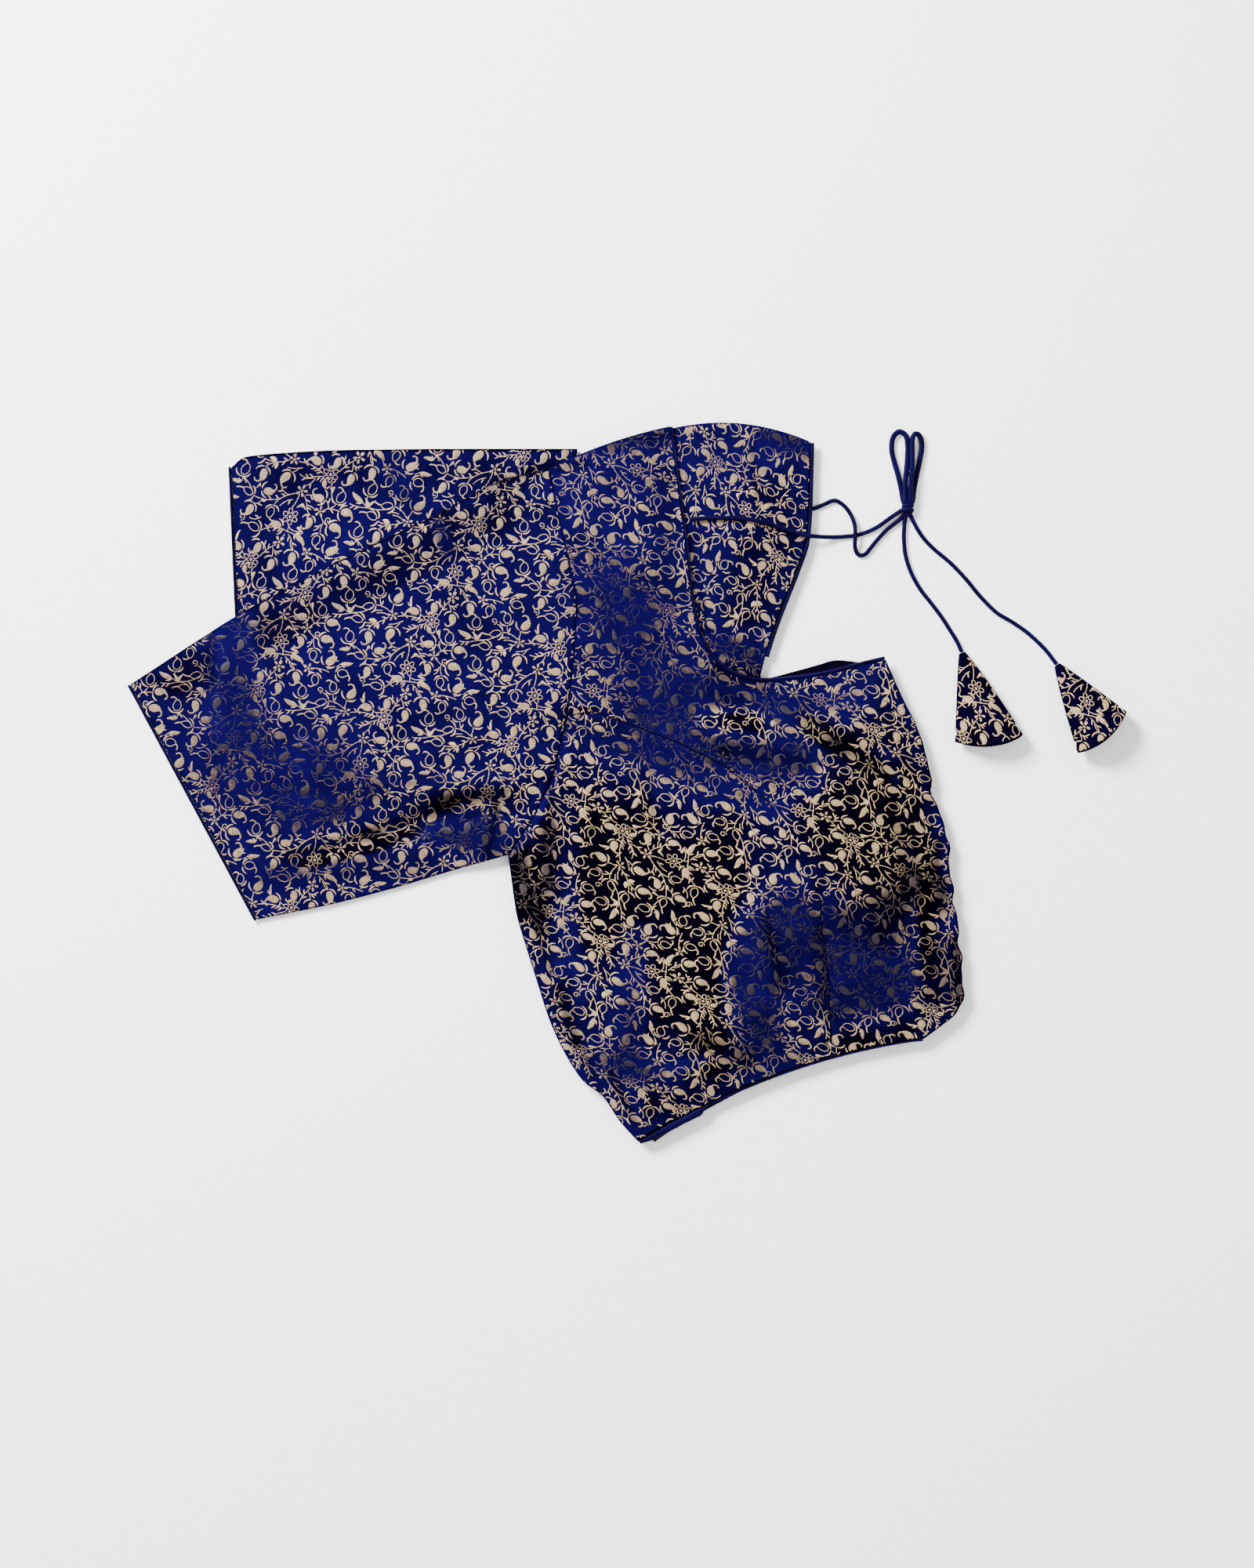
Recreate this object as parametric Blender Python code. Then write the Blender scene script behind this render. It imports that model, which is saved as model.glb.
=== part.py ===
"""A lined saree blouse folded in half lengthwise and laid flat: X runs from the sleeves to the front edge,
Y from the hem to the shoulder, Z up from the surface it lies on. Tables are in millimetres."""

import math
from collections import namedtuple

import bmesh
import bpy
import numpy as np
from mathutils import Matrix

MM = 0.001

# Driving sizes
CLOTH = 1.6  # brocade with its lining and seam allowances
SLEEVE_CLOTH = 1.3
LAYER_GAP = 0.4  # air between one panel and the next
SLEEVE_GAP = 0.8  # air between one sleeve and the other
SEAM_GAP = 0.5  # between two panels where they are sewn
PIPING_RADIUS = 1.0
PIPING_GAP = 0.3
CORD_DIAMETER = 2.2
CORD_STEP = 5.5
EDGE_PILE = 5.2  # the hidden layers, pressed flat at an edge
CORE_PILE = 9.0  # the same layers well inside
EDGE_ROLL = 38.0  # how far in from an edge they reach that height
SLEEVE_EDGE = 3.4  # a sleeve's two walls at a pressed fold
LEFT_SLEEVE_PUFF = 1.9
RIGHT_SLEEVE_PUFF = 3.6
SLEEVE_ROLL = 30.0
SLEEVE_HOLLOW = 3.0  # air inside a sleeve, at most
SLEEVE_TURN = 0.9  # a sleeve's walls stop this short of its rounded fold and seam
MOST_WALL = 2.8  # brocade, lining and the seams folded in, where a sleeve is thickest
MOST_SLEEVE = 8.4
TENT_START, TENT_LENGTH = 4.0, 16.0  # where the top sleeve comes down to the surface beside the lower one
BLEND_LENGTH = 34.0  # over this the sleeve takes the height of the front at the armhole
UNDERLAP = 6.0  # how far the left back runs on under the right front

Row = namedtuple("Row", "left_x left_y right_x right_y bow")
Fold = namedtuple("Fold", "x0 y0 x1 y1 width height")
Section = namedtuple("Section", "fold_x fold_y under_x under_y")

# Right front, from the shoulder to the hem. The left end is the armhole, then the side; the right end is
# the neckline, then the centre front.
FRONT_ROWS = (
    Row(2.5, 172, 69, 195, 2.5),
    Row(8, 146.5, 73.5, 159, 1.5),
    Row(14, 119.5, 77.5, 129, 0.5),
    Row(18, 98, 80.5, 101, 0),
    Row(17, 79.5, 85.5, 79, 0),
    Row(15.5, 61.5, 101, 60.5, 0),
    Row(14, 49, 120.5, 55.5, 0),
    Row(12.5, 36.5, 148.5, 58.5, 0),
    Row(9, 21.5, 174, 64.5, 0),
    Row(4.5, 3, 186.5, 67.5, 1),
    Row(-6.5, -19.5, 196, 46, 1.5),
    Row(-19.5, -39, 202.5, 33.5, 2.5),
    Row(-17.5, -54, 208.5, 16, 3.5),
    Row(-15, -71, 213, -9, 4),
    Row(-10, -88.5, 220, -28, 4.5),
    Row(-4, -107.5, 222, -51, 5),
    Row(3, -129, 225.5, -75.5, 6),
    Row(11, -146.5, 227.5, -95, 7),
    Row(22, -163, 229, -113, 7.5),
    Row(31.5, -170, 226, -124, 8.5),
    Row(41.5, -184.5, 216.5, -132.5, 9),
    Row(51.5, -195.5, 207, -139.5, 9.5),
)
NECK_CORNER, UNDERARM = 9, 11  # rows of that table

# Left back, from the shoulder to the point where its edge goes under the right front
BACK_ROWS = (
    Row(65, 192.5, 145.5, 186.5, 7.5),
    Row(69, 172, 145, 167.5, 1.5),
    Row(71, 150.5, 144.5, 150.5, 0),
    Row(72.5, 133, 143, 133, 0),
    Row(74.5, 116, 137.5, 116, 0),
    Row(76, 98.5, 131, 99.5, 0),
    Row(79.5, 81.5, 125, 83.5, 0),
    Row(87.5, 66.5, 120, 67.5, 0),
    Row(99, 52, 117.5, 57.5, 0),
)

# Hidden layers: right back, left front and the lower part of the left back
INNER_ROWS = (
    Row(21, 178, 144, 184.5, 13),
    Row(17, 154.5, 143.5, 153.5, 2),
    Row(15.5, 129, 140, 130.5, 0),
    Row(20, 98, 130, 101, 0),
    Row(19, 79.5, 123, 83.5, 0),
    Row(17.5, 61.5, 118, 66, 0),
    Row(16, 48, 119, 53.5, 0),
    Row(15, 40.5, 137, 57.5, 0),
    Row(14, 32, 148.5, 64, 0),
    Row(12, 21.5, 160.5, 67.5, 0),
    Row(8.5, 10.5, 175, 66, 0),
    Row(6, 2, 185, 65.5, 0),
    Row(-4, -20.5, 194, 45, 1),
    Row(-17.5, -40, 200.5, 32.5, 1.5),
    Row(-16, -54, 206.5, 15.5, 2.5),
    Row(-13.5, -71, 210.5, -9, 3.5),
    Row(-8, -88.5, 218, -28.5, 4.5),
    Row(-2, -107.5, 219.5, -51.5, 5),
    Row(4.5, -129, 223, -76, 6),
    Row(12.5, -145.5, 225.5, -95, 7),
    Row(23.5, -162, 226.5, -113, 7.5),
    Row(33, -169, 223.5, -123, 8.5),
    Row(44, -181.5, 214.5, -131.5, 9.5),
    Row(60.5, -196.5, 205, -138, 10.5),
)

# Sleeves, from the cuff to the armhole: the pressed fold on top, the underarm seam below
RIGHT_SLEEVE = (
    Section(-227, 54.5, -157.5, -74.5),
    Section(-171.5, 90, -116, -66),
    Section(-114, 120.5, -81.5, -57),
    Section(-58, 147.5, -51.5, -48),
    Section(-23.5, 165.5, -32, -42.5),
    Section(2.5, 172, -19.5, -39),
)
LEFT_SLEEVE = (
    Section(-171.5, 173.5, -165, 25.5),
    Section(-164, 179, -157, 21.5),
    Section(-104.5, 183, -109.5, 8.5),
    Section(-41, 183.5, -58, 2),
    Section(18, 183.5, 0, 2),
)

LEFT_ARMHOLE = ((18, 183.5), (14, 154), (12.5, 129), (15, 98), (14, 79), (12, 60), (9, 40), (0, 2))

# Largest folds: ridges have a positive height, darts and troughs a negative one
BODY_FOLDS = (
    Fold(138, -30, 142, -40, 62, 7.0),  # bust fullness
    Fold(118, -110, 128, -78, 26, 2.6),  # loose cloth in the lower front
    Fold(75, -55, 92, -150, 17, 2.4),  # soft ridge from the armhole dart to the hem
    Fold(12, 37, 124, -10, 6, -1.8),  # armhole dart
    Fold(150, -62, 155, -128, 6, -1.8),  # waist dart
    Fold(108, -30, 100, -140, 12, -1.8),  # hollow beside the ridge
    Fold(28, -20, 52, -130, 13, 2.0),  # side panel
    Fold(0, -52, 18, -110, 8, -1.4),
    Fold(186, 40, 206, -12, 7, 1.6),  # stiff band along the centre front
    Fold(206, -20, 203, -110, 6, 1.6),
    Fold(176, -25, 186, -60, 12, -1.6),
    Fold(104, 36, 140, 42, 14, 1.6),  # cloth lifted under the neckline
    Fold(122, 20, 190, 20, 8, -1.4),
    Fold(46, 95, 48, 150, 18, 1.4),  # strap
)
RIGHT_SLEEVE_FOLDS = (
    Fold(-138, -44, -50, -16, 9, -3.0),  # the long trough above the underarm seam
    Fold(-46, -14, 0, 4, 8, -2.2),
    Fold(-110, 8, -70, 10, 26, 2.2),
    Fold(-30, 70, -10, 20, 16, 1.6),
    Fold(-34, -34, 0, 2, 5, 1.8),  # ridge that runs up from the underarm
    Fold(-190, 30, -160, -20, 15, 1.0),
)
LEFT_SLEEVE_FOLDS = (
    Fold(-90, 178, -60, 150, 10, -1.0),
    Fold(-140, 160, -120, 120, 18, 1.0),
    Fold(-30, 172, -10, 150, 12, 0.8),
)

# Tie cords: points that each one follows, and the height of its centre
NEAR_LEAD = (
    (79.9, 144.1, 10.7), (88, 144.8, 10.7), (97, 145, 10.7), (110, 144.6, 10.5), (122, 142, 9.5),
    (134, 138.3, 7.6), (142, 136, 6.9), (149, 135.2, 5.4), (156, 135, 2.8), (163, 135.3, 1.2),
    (171, 136.2, 1.1), (177, 138, 1.1), (183, 141, 1.2), (189, 145.3, 1.4), (194.9, 149.3, 1.9),
)
FAR_LEAD = (
    (146.9, 150.5, 1.15), (150, 151.6, 1.15), (153.5, 153.2, 1.15), (159, 155.2, 1.15),
    (164, 152.5, 1.2), (168, 147, 1.9), (170, 141, 3.3), (170.2, 135, 3.9), (170.1, 129.8, 2.6),
    (171.8, 125.6, 1.4), (175.6, 125.6, 1.15), (179.3, 129.8, 1.15), (183, 134.3, 1.15),
    (187.5, 139, 1.15), (191.5, 142.2, 1.2), (195.1, 145.1, 1.5),
)
LEFT_LOOP = (
    (196.6, 155.15, 1.6), (195.4, 162, 1.25), (193.8, 169, 1.25), (191.8, 176, 1.25), (190.3, 183, 1.25),
    (191, 189.5, 1.25), (194.3, 192.9, 1.4), (198, 190.8, 1.9), (199, 185, 2.6), (198.8, 178, 3.2),
    (198.1, 170.5, 3.8), (197.6, 163, 4.1), (197.8, 156.0, 4.2),
)
RIGHT_LOOP = (
    (201.7, 155.0, 1.6), (202.9, 162, 1.25), (204.6, 169, 1.25), (206.6, 176, 1.25), (208, 182.5, 1.25),
    (207.8, 188, 1.25), (204.8, 191.6, 2.0), (202.3, 189.5, 3.2), (202.2, 183.5, 3.6), (202.2, 176, 4.0),
    (201.4, 168.5, 4.4), (200.7, 162, 4.4), (200.5, 156.1, 4.4),
)
LEFT_TAIL = (
    (197.9, 146.2, 1.6), (197.2, 141, 1.25), (197, 134, 1.25), (197.9, 125, 1.25), (201, 115.5, 1.25),
    (206, 106.5, 1.25), (212, 98.8, 1.25), (217.5, 91.5, 1.25), (222, 84.5, 1.25), (226, 78, 1.25),
    (228.72, 72.2, 1.25),
)
RIGHT_TAIL = (
    (200.9, 146.6, 1.6), (203, 142, 1.25), (207, 135.5, 1.25), (213, 129, 1.25), (223, 120.5, 1.25),
    (231.5, 111.5, 1.25), (238.5, 103, 1.25), (247.5, 94, 1.25), (256.5, 88.5, 1.25), (265, 82.5, 1.25),
    (274, 74, 1.25), (280.7, 65.45, 1.25),
)
KNOT_CENTRE = (199, 151)
KNOT_HALF = (3.3, 4.4, 3.4)
KNOT_FLAT = 0.9  # share of its half height left under its middle

# Padded cone tassels: the apex is the tied end, and a turned rim closes the base
Tassel = namedtuple("Tassel", "apex_x apex_y turn length rim_width rim_height skew")
LEFT_TASSEL = Tassel(228.9, 71.7, -73, 49, 37, 13, 0.07)
RIGHT_TASSEL = Tassel(281.0, 65.0, -57, 44, 35, 16, -0.05)
TASSEL_NECK = 3.4
RIM_START = 0.9  # share of the length where the rim is turned
RIM_TUCK = 0.9

# Counts of steps
ROW_STEPS = 2
FRONT_COLUMNS, BACK_COLUMNS, INNER_COLUMNS = 22, 9, 13
SLEEVE_STEPS, RIGHT_SLEEVE_COLUMNS, LEFT_SLEEVE_COLUMNS = 4, 14, 8
LEFT_SLEEVE_STEPS, INNER_STEPS = 3, 2
PIPING_SIDES = 6
INNER_REACH = 6.0  # half a cell of the hidden layers' surface
NECK_FREE_STEP = 12  # from here the neckline is a free edge, with nothing under its open side
BACK_COVERED_STEPS, BACK_PIPING_STEPS = 2, 3  # ends of the left back's edge, under the right front

BROCADE = (0.035, 0.028, 0.13)
SATIN = (0.006, 0.004, 0.07)
LINING = (0.005, 0.004, 0.05)


def smooth(t):
    t = np.clip(t, 0, 1)
    return t * t * (3 - 2 * t)


def smooth_rows(rows, steps, corners=()):
    """Rows between the given ones, on a curve through each column that overshoots nowhere."""
    keys = np.array(rows, float)
    secant = np.diff(keys, axis=0)
    product = secant[1:] * secant[:-1]
    mean = np.where(product > 0, 2 * product / np.where(product > 0, secant[1:] + secant[:-1], 1), 0)
    after = np.vstack([secant[:1], mean, secant[-1:]])
    before = after.copy()
    for key in corners:
        before[key] = secant[key - 1]
        after[key] = secant[key]
    out = []
    for k in range(len(secant)):
        for step in range(steps):
            t = step / steps
            out.append(
                (2 * t**3 - 3 * t**2 + 1) * keys[k]
                + (t**3 - 2 * t**2 + t) * after[k]
                + (3 * t**2 - 2 * t**3) * keys[k + 1]
                + (t**3 - t**2) * before[k + 1]
            )
    return np.array(out + [keys[-1]])


def resample(line, count):
    """Points spaced evenly along a line."""
    line = np.asarray(line, float)
    along = np.concatenate([[0], np.cumsum(np.linalg.norm(np.diff(line, axis=0), axis=1))])
    at = np.linspace(0, along[-1], count)
    return np.stack([np.interp(at, along, line[:, k]) for k in range(line.shape[1])], 1)


def distance_to(points, line):
    """Distance of each point from a line in plan."""
    points = np.asarray(points, float)[..., None, :2]
    start, end = line[:-1, :2], line[1:, :2]
    run = end - start
    t = np.clip(((points - start) * run).sum(-1) / np.maximum((run**2).sum(-1), 1e-9), 0, 1)
    return np.linalg.norm(points - start - t[..., None] * run, axis=-1).min(-1)


def inside(points, outline):
    """Whether each point lies inside a closed outline in plan."""
    x, y = points[..., 0, None], points[..., 1, None]
    x0, y0 = outline[:, 0], outline[:, 1]
    x1, y1 = np.roll(x0, -1), np.roll(y0, -1)
    rise = np.where(y1 == y0, 1e-9, y1 - y0)
    crossing = ((y0 > y) != (y1 > y)) & (x < x0 + (y - y0) / rise * (x1 - x0))
    return crossing.sum(-1) % 2 == 1


def relief(points, folds):
    """Height that a table of folds adds at each point."""
    total = np.zeros(points.shape[:-1])
    for fold in folds:
        line = np.array([(fold.x0, fold.y0), (fold.x1, fold.y1)], float)
        total += fold.height * np.exp(-((distance_to(points, line) / fold.width) ** 2))
    return total


def panel_grid(rows, columns):
    """Points across each row; bow lifts the middle of a row towards the shoulder."""
    u = np.linspace(0, 1, columns)[None, :, None]
    left, right = rows[:, None, 0:2], rows[:, None, 2:4]
    grid = left * (1 - u) + right * u
    grid[..., 1] += rows[:, 4:5] * np.sin(np.pi * u[..., 0]) ** 0.8
    return grid


def boundary(grid):
    return np.vstack([grid[0, :-1], grid[:-1, -1], grid[-1, :0:-1], grid[:0:-1, 0]])


def section_grid(sections, steps, columns, end_line=None):
    """Points from the fold to the underarm seam; the sections take on the armhole's curve towards it."""
    rows = smooth_rows(sections, steps)
    u = np.linspace(0, 1, columns)[None, :, None]
    grid = rows[:, None, 0:2] * (1 - u) + rows[:, None, 2:4] * u
    if end_line is not None:
        curve = resample(end_line, columns)
        along = np.linspace(0, 1, len(rows))[:, None, None]
        grid += along**4 * (curve - grid[-1])[None]
    return grid


def material(name, colour, roughness):
    made = bpy.data.materials.new(name)
    made.use_nodes = True
    surface = made.node_tree.nodes["Principled BSDF"]
    surface.inputs["Base Color"].default_value = (*colour, 1)
    surface.inputs["Roughness"].default_value = roughness
    surface.inputs["Metallic"].default_value = 0.0
    return made


def add_object(name, points, faces, finish):
    """One closed mesh object from points in millimetres, its faces turned outwards."""
    mesh = bpy.data.meshes.new(name)
    mesh.from_pydata([tuple(np.array(p) * MM) for p in points], [], faces)
    shaped = bmesh.new()
    shaped.from_mesh(mesh)
    bmesh.ops.recalc_face_normals(shaped, faces=shaped.faces)
    shaped.to_mesh(mesh)
    shaped.free()
    mesh.shade_smooth()
    mesh.set_sharp_from_angle(angle=math.radians(50))
    mesh.materials.append(finish)
    made = bpy.data.objects.new(name, mesh)
    bpy.context.scene.collection.objects.link(made)
    return made


def grid_faces(rows, columns, start=0):
    return [
        (start + r * columns + c, start + r * columns + c + 1,
         start + (r + 1) * columns + c + 1, start + (r + 1) * columns + c)
        for r in range(rows - 1)
        for c in range(columns - 1)
    ]


def rim_indices(rows, columns):
    """Indices around a grid's edge, in one direction."""
    top = list(range(columns - 1))
    right = [r * columns + columns - 1 for r in range(rows - 1)]
    bottom = [(rows - 1) * columns + c for c in range(columns - 1, 0, -1)]
    left = [r * columns for r in range(rows - 1, 0, -1)]
    return top + right + bottom + left


def add_wall(name, grid, top, thickness, finish):
    """A panel of cloth: its outer surface, the same points one thickness lower, and the edge between."""
    rows, columns = grid.shape[:2]
    outer = np.dstack([grid, top]).reshape(-1, 3)
    under = np.dstack([grid, top - thickness]).reshape(-1, 3)
    count = rows * columns
    faces = grid_faces(rows, columns)
    faces += [tuple(i + count for i in reversed(face)) for face in grid_faces(rows, columns)]
    rim = rim_indices(rows, columns)
    for a, b in zip(rim, rim[1:] + rim[:1]):
        faces.append((a, a + count, b + count, b))
    return add_object(name, np.vstack([outer, under]), faces, finish)


def add_pile(name, grid, top, layers, finish):
    """One rounded solid for the hidden layers, with a groove between each two along its edge."""
    rows, columns = grid.shape[:2]
    points = list(np.dstack([grid, top]).reshape(-1, 3))
    faces = grid_faces(rows, columns)
    rim = rim_indices(rows, columns)
    ring = np.array([points[i] for i in rim])
    inward = -outward_normals(ring[:, :2])
    levels = []
    for layer in range(layers, 0, -1):
        if layer < layers:
            levels.append((layer / layers, 0.0))
        levels.append(((layer - 0.75) / layers, 0.0))
        if layer > 1:
            levels.append(((layer - 0.92) / layers, 1.1))
    levels.append((0.0, 0.5))
    above = list(rim)
    for share, inset in levels:
        start = len(points)
        for point, way in zip(ring, inward):
            points.append((*(point[:2] + way * inset), point[2] * share))
        below = list(range(start, start + len(rim)))
        for k in range(len(rim)):
            n = (k + 1) % len(rim)
            faces.append((above[k], below[k], below[n], above[n]))
        above = below
    faces.append(tuple(above))
    return add_object(name, points, faces, finish)


def outward_normals(ring):
    """Unit normals in plan of a closed ring, pointing out of it."""
    run = np.roll(ring, -1, axis=0) - np.roll(ring, 1, axis=0)
    normal = np.stack([run[:, 1], -run[:, 0]], 1)
    normal /= np.maximum(np.linalg.norm(normal, axis=1, keepdims=True), 1e-9)
    area = (ring[:, 0] * np.roll(ring[:, 1], -1) - np.roll(ring[:, 0], -1) * ring[:, 1]).sum()
    return normal if area > 0 else -normal


def add_tube_of_cloth(name, grid, low, high, wall, finish):
    """A flat sleeve, open at the cuff and at the armhole: one ring of cloth for each section."""
    walls = np.clip((high - low - SLEEVE_HOLLOW) / 2, wall, MOST_WALL)
    sections = list(zip(grid, low, high, walls))
    outer = [sleeve_ring(line, under, over, 0.0) for line, under, over, _ in sections]
    inner = [sleeve_ring(line, under + thick, over - thick, wall) for line, under, over, thick in sections]
    size = len(outer[0])
    points = np.vstack(outer + inner)
    inner_start = len(outer) * size
    faces = []
    for start in (0, inner_start):
        for r in range(len(outer) - 1):
            for k in range(size):
                n = (k + 1) % size
                a, b = start + r * size, start + (r + 1) * size
                faces.append((a + k, a + n, b + n, b + k))
    for first in (0, (len(outer) - 1) * size):
        for k in range(size):
            n = (k + 1) % size
            faces.append((first + k, inner_start + first + k, inner_start + first + n, first + n))
    return add_object(name, points, faces, finish)


def sleeve_ring(line, under, over, inset):
    """Once round a sleeve's section: over the top, a rounded fold, back below, and a rounded seam."""
    across = line[-1] - line[0]
    across = across / np.linalg.norm(across)
    shift = np.zeros(len(line))
    shift[0], shift[-1] = SLEEVE_TURN + inset, -SLEEVE_TURN - inset
    moved = line + across * shift[:, None]
    top = [(*p, z) for p, z in zip(moved, over)]
    bottom = [(*p, z) for p, z in zip(moved, under)]
    seam = (*(line[-1] - across * inset), (over[-1] + under[-1]) / 2)
    fold = (*(line[0] + across * inset), (over[0] + under[0]) / 2)
    return np.array([fold] + top + [seam] + bottom[::-1])


def add_piping(name, edge, outward, finish, half_width=PIPING_RADIUS, half_height=PIPING_RADIUS, count=30):
    """A covered cord along a panel's edge, moved out from it by its own radius and the seam's gap."""
    line = resample(edge, count)
    run = np.gradient(line[:, :2], axis=0)
    normal = np.stack([run[:, 1], -run[:, 0]], 1)
    normal /= np.linalg.norm(normal, axis=1, keepdims=True)
    normal *= math.copysign(1, float((normal[count // 2] * np.array(outward)).sum()))
    centre = line.copy()
    centre[:, :2] += normal * (half_width + PIPING_GAP)
    points = []
    for middle, way in zip(centre, normal):
        for side in range(PIPING_SIDES):
            turn = 2 * math.pi * (side + 0.5) / PIPING_SIDES
            points.append((
                *(middle[:2] + way * half_width * math.cos(turn)),
                middle[2] + half_height * math.sin(turn),
            ))
    faces = []
    for r in range(count - 1):
        for k in range(PIPING_SIDES):
            n = (k + 1) % PIPING_SIDES
            a, b = r * PIPING_SIDES, (r + 1) * PIPING_SIDES
            faces.append((a + k, a + n, b + n, b + k))
    faces.append(tuple(range(PIPING_SIDES)))
    faces.append(tuple((count - 1) * PIPING_SIDES + k for k in range(PIPING_SIDES)))
    return add_object(name, points, faces, finish)


def add_cord(name, route, finish):
    """A tie cord on a smooth curve through its route."""
    steps = 12
    keys = np.array(route, float)
    tangent = np.gradient(keys, axis=0)
    fine = []
    for k in range(len(keys) - 1):
        for step in range(steps):
            t = step / steps
            fine.append(
                (2 * t**3 - 3 * t**2 + 1) * keys[k] + (t**3 - 2 * t**2 + t) * tangent[k]
                + (3 * t**2 - 2 * t**3) * keys[k + 1] + (t**3 - t**2) * tangent[k + 1]
            )
    fine.append(keys[-1])
    length = np.linalg.norm(np.diff(fine, axis=0), axis=1).sum()
    points = resample(fine, int(round(length / CORD_STEP)) + 1)
    curve = bpy.data.curves.new(name, "CURVE")
    curve.dimensions = "3D"
    curve.bevel_depth = CORD_DIAMETER / 2 * MM
    curve.bevel_resolution = 2
    curve.use_fill_caps = True
    spline = curve.splines.new("POLY")
    spline.points.add(len(points) - 1)
    for point, place in zip(spline.points, points):
        point.co = (*(place * MM), 1)
    curve.materials.append(finish)
    made = bpy.data.objects.new(name, curve)
    bpy.context.scene.collection.objects.link(made)
    return made


def add_knot(name, finish):
    """The double wrap of the bow, pulled tight and flat underneath."""
    shaped = bmesh.new()
    bmesh.ops.create_uvsphere(shaped, u_segments=14, v_segments=9, radius=1)
    for vert in shaped.verts:
        around = math.atan2(vert.co.y, vert.co.x)
        swell = 1 + 0.05 * math.cos(2 * around + 0.6)
        vert.co.x *= KNOT_HALF[0] * swell
        vert.co.y *= KNOT_HALF[1] * swell
        vert.co.z = max(vert.co.z, -KNOT_FLAT) * KNOT_HALF[2] / 0.95
    bmesh.ops.scale(shaped, vec=(MM, MM, MM), verts=shaped.verts)
    lowest = min(vert.co.z for vert in shaped.verts)
    place = Matrix.Translation((KNOT_CENTRE[0] * MM, KNOT_CENTRE[1] * MM, -lowest))
    bmesh.ops.transform(shaped, matrix=place, verts=shaped.verts)
    mesh = bpy.data.meshes.new(name)
    shaped.to_mesh(mesh)
    shaped.free()
    mesh.shade_smooth()
    mesh.materials.append(finish)
    made = bpy.data.objects.new(name, mesh)
    bpy.context.scene.collection.objects.link(made)
    return made


def add_tassel(name, size, finish):
    """A padded cone of cloth lying on its side, flat underneath, with a crease above its turned rim."""
    sides = 20
    turn = math.radians(size.turn)
    along = np.array((math.cos(turn), math.sin(turn)))
    across = np.array((-along[1], along[0]))
    stations = [(t, 0.0) for t in (0, 0.12, 0.28, 0.44, 0.6, 0.75, RIM_START - 0.02)]
    stations += [(RIM_START, RIM_TUCK), (RIM_START + 0.03, 0.2), (1.0, 0.0), (1.015, 2.2)]
    points = []
    for t, tuck in stations:
        width = TASSEL_NECK + (size.rim_width - TASSEL_NECK) * min(t, 1)**0.9 - 2 * tuck
        height = TASSEL_NECK + (size.rim_height - TASSEL_NECK) * min(t, 1)**0.8 - tuck
        for side in range(sides):
            around = 2 * math.pi * side / sides
            lift = max(0.0, 1.12 * (0.5 + 0.5 * math.sin(around)) - 0.12)
            swell = 0.08 * math.sin(around) ** 2
            reach = size.length * t * (1 + t * (size.skew * math.cos(around) + swell))
            plan = np.array((size.apex_x, size.apex_y)) + along * reach
            plan = plan + across * width / 2 * math.cos(around)
            points.append((*plan, height * lift))
    faces = []
    for ring in range(len(stations) - 1):
        for side in range(sides):
            n = (side + 1) % sides
            a, b = ring * sides, (ring + 1) * sides
            faces.append((a + side, a + n, b + n, b + side))
    faces.append(tuple(range(sides)))
    faces.append(tuple((len(stations) - 1) * sides + side for side in range(sides)))
    return add_object(name, points, faces, finish)


def pile_height(points, free_edge):
    """Height of the hidden layers, with the body's folds, before the left back's own thickness."""
    rise = smooth(distance_to(points, free_edge) / EDGE_ROLL)
    flat = EDGE_PILE + (CORE_PILE - EDGE_PILE) * rise
    return np.maximum(flat + relief(points, BODY_FOLDS) * smooth(rise * 1.6), EDGE_PILE)


def lowest_near(height, points, reach):
    """The lowest value of a height function around each point, so that flat faces stay under it."""
    around = [(reach * i, reach * j) for i in (-1, 0, 1) for j in (-1, 0, 1)]
    return np.min([height(points + np.array(shift)) for shift in around], axis=0)


def step_down(points, neckline):
    """0 under the right front, 1 under the left back, where the pile is lower by one panel."""
    gap = distance_to(points, neckline)
    side = np.where(neck_side(points, neckline), 1, -1)
    return smooth((gap * side + UNDERLAP + 9) / 8)


def neck_side(points, neckline):
    """Whether a point is on the open side of the right front's neckline."""
    above = np.array([(neckline[-1, 0], 260), (neckline[0, 0], 260)])
    return inside(points, np.vstack([neckline[:, :2], above]))


def sleeve_heights(grid, floor, puff, folds, outline):
    rise = smooth(distance_to(grid, outline) / SLEEVE_ROLL)
    full = SLEEVE_EDGE + puff * rise + relief(grid, folds) * rise
    return floor + np.maximum(full, SLEEVE_EDGE)


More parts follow.
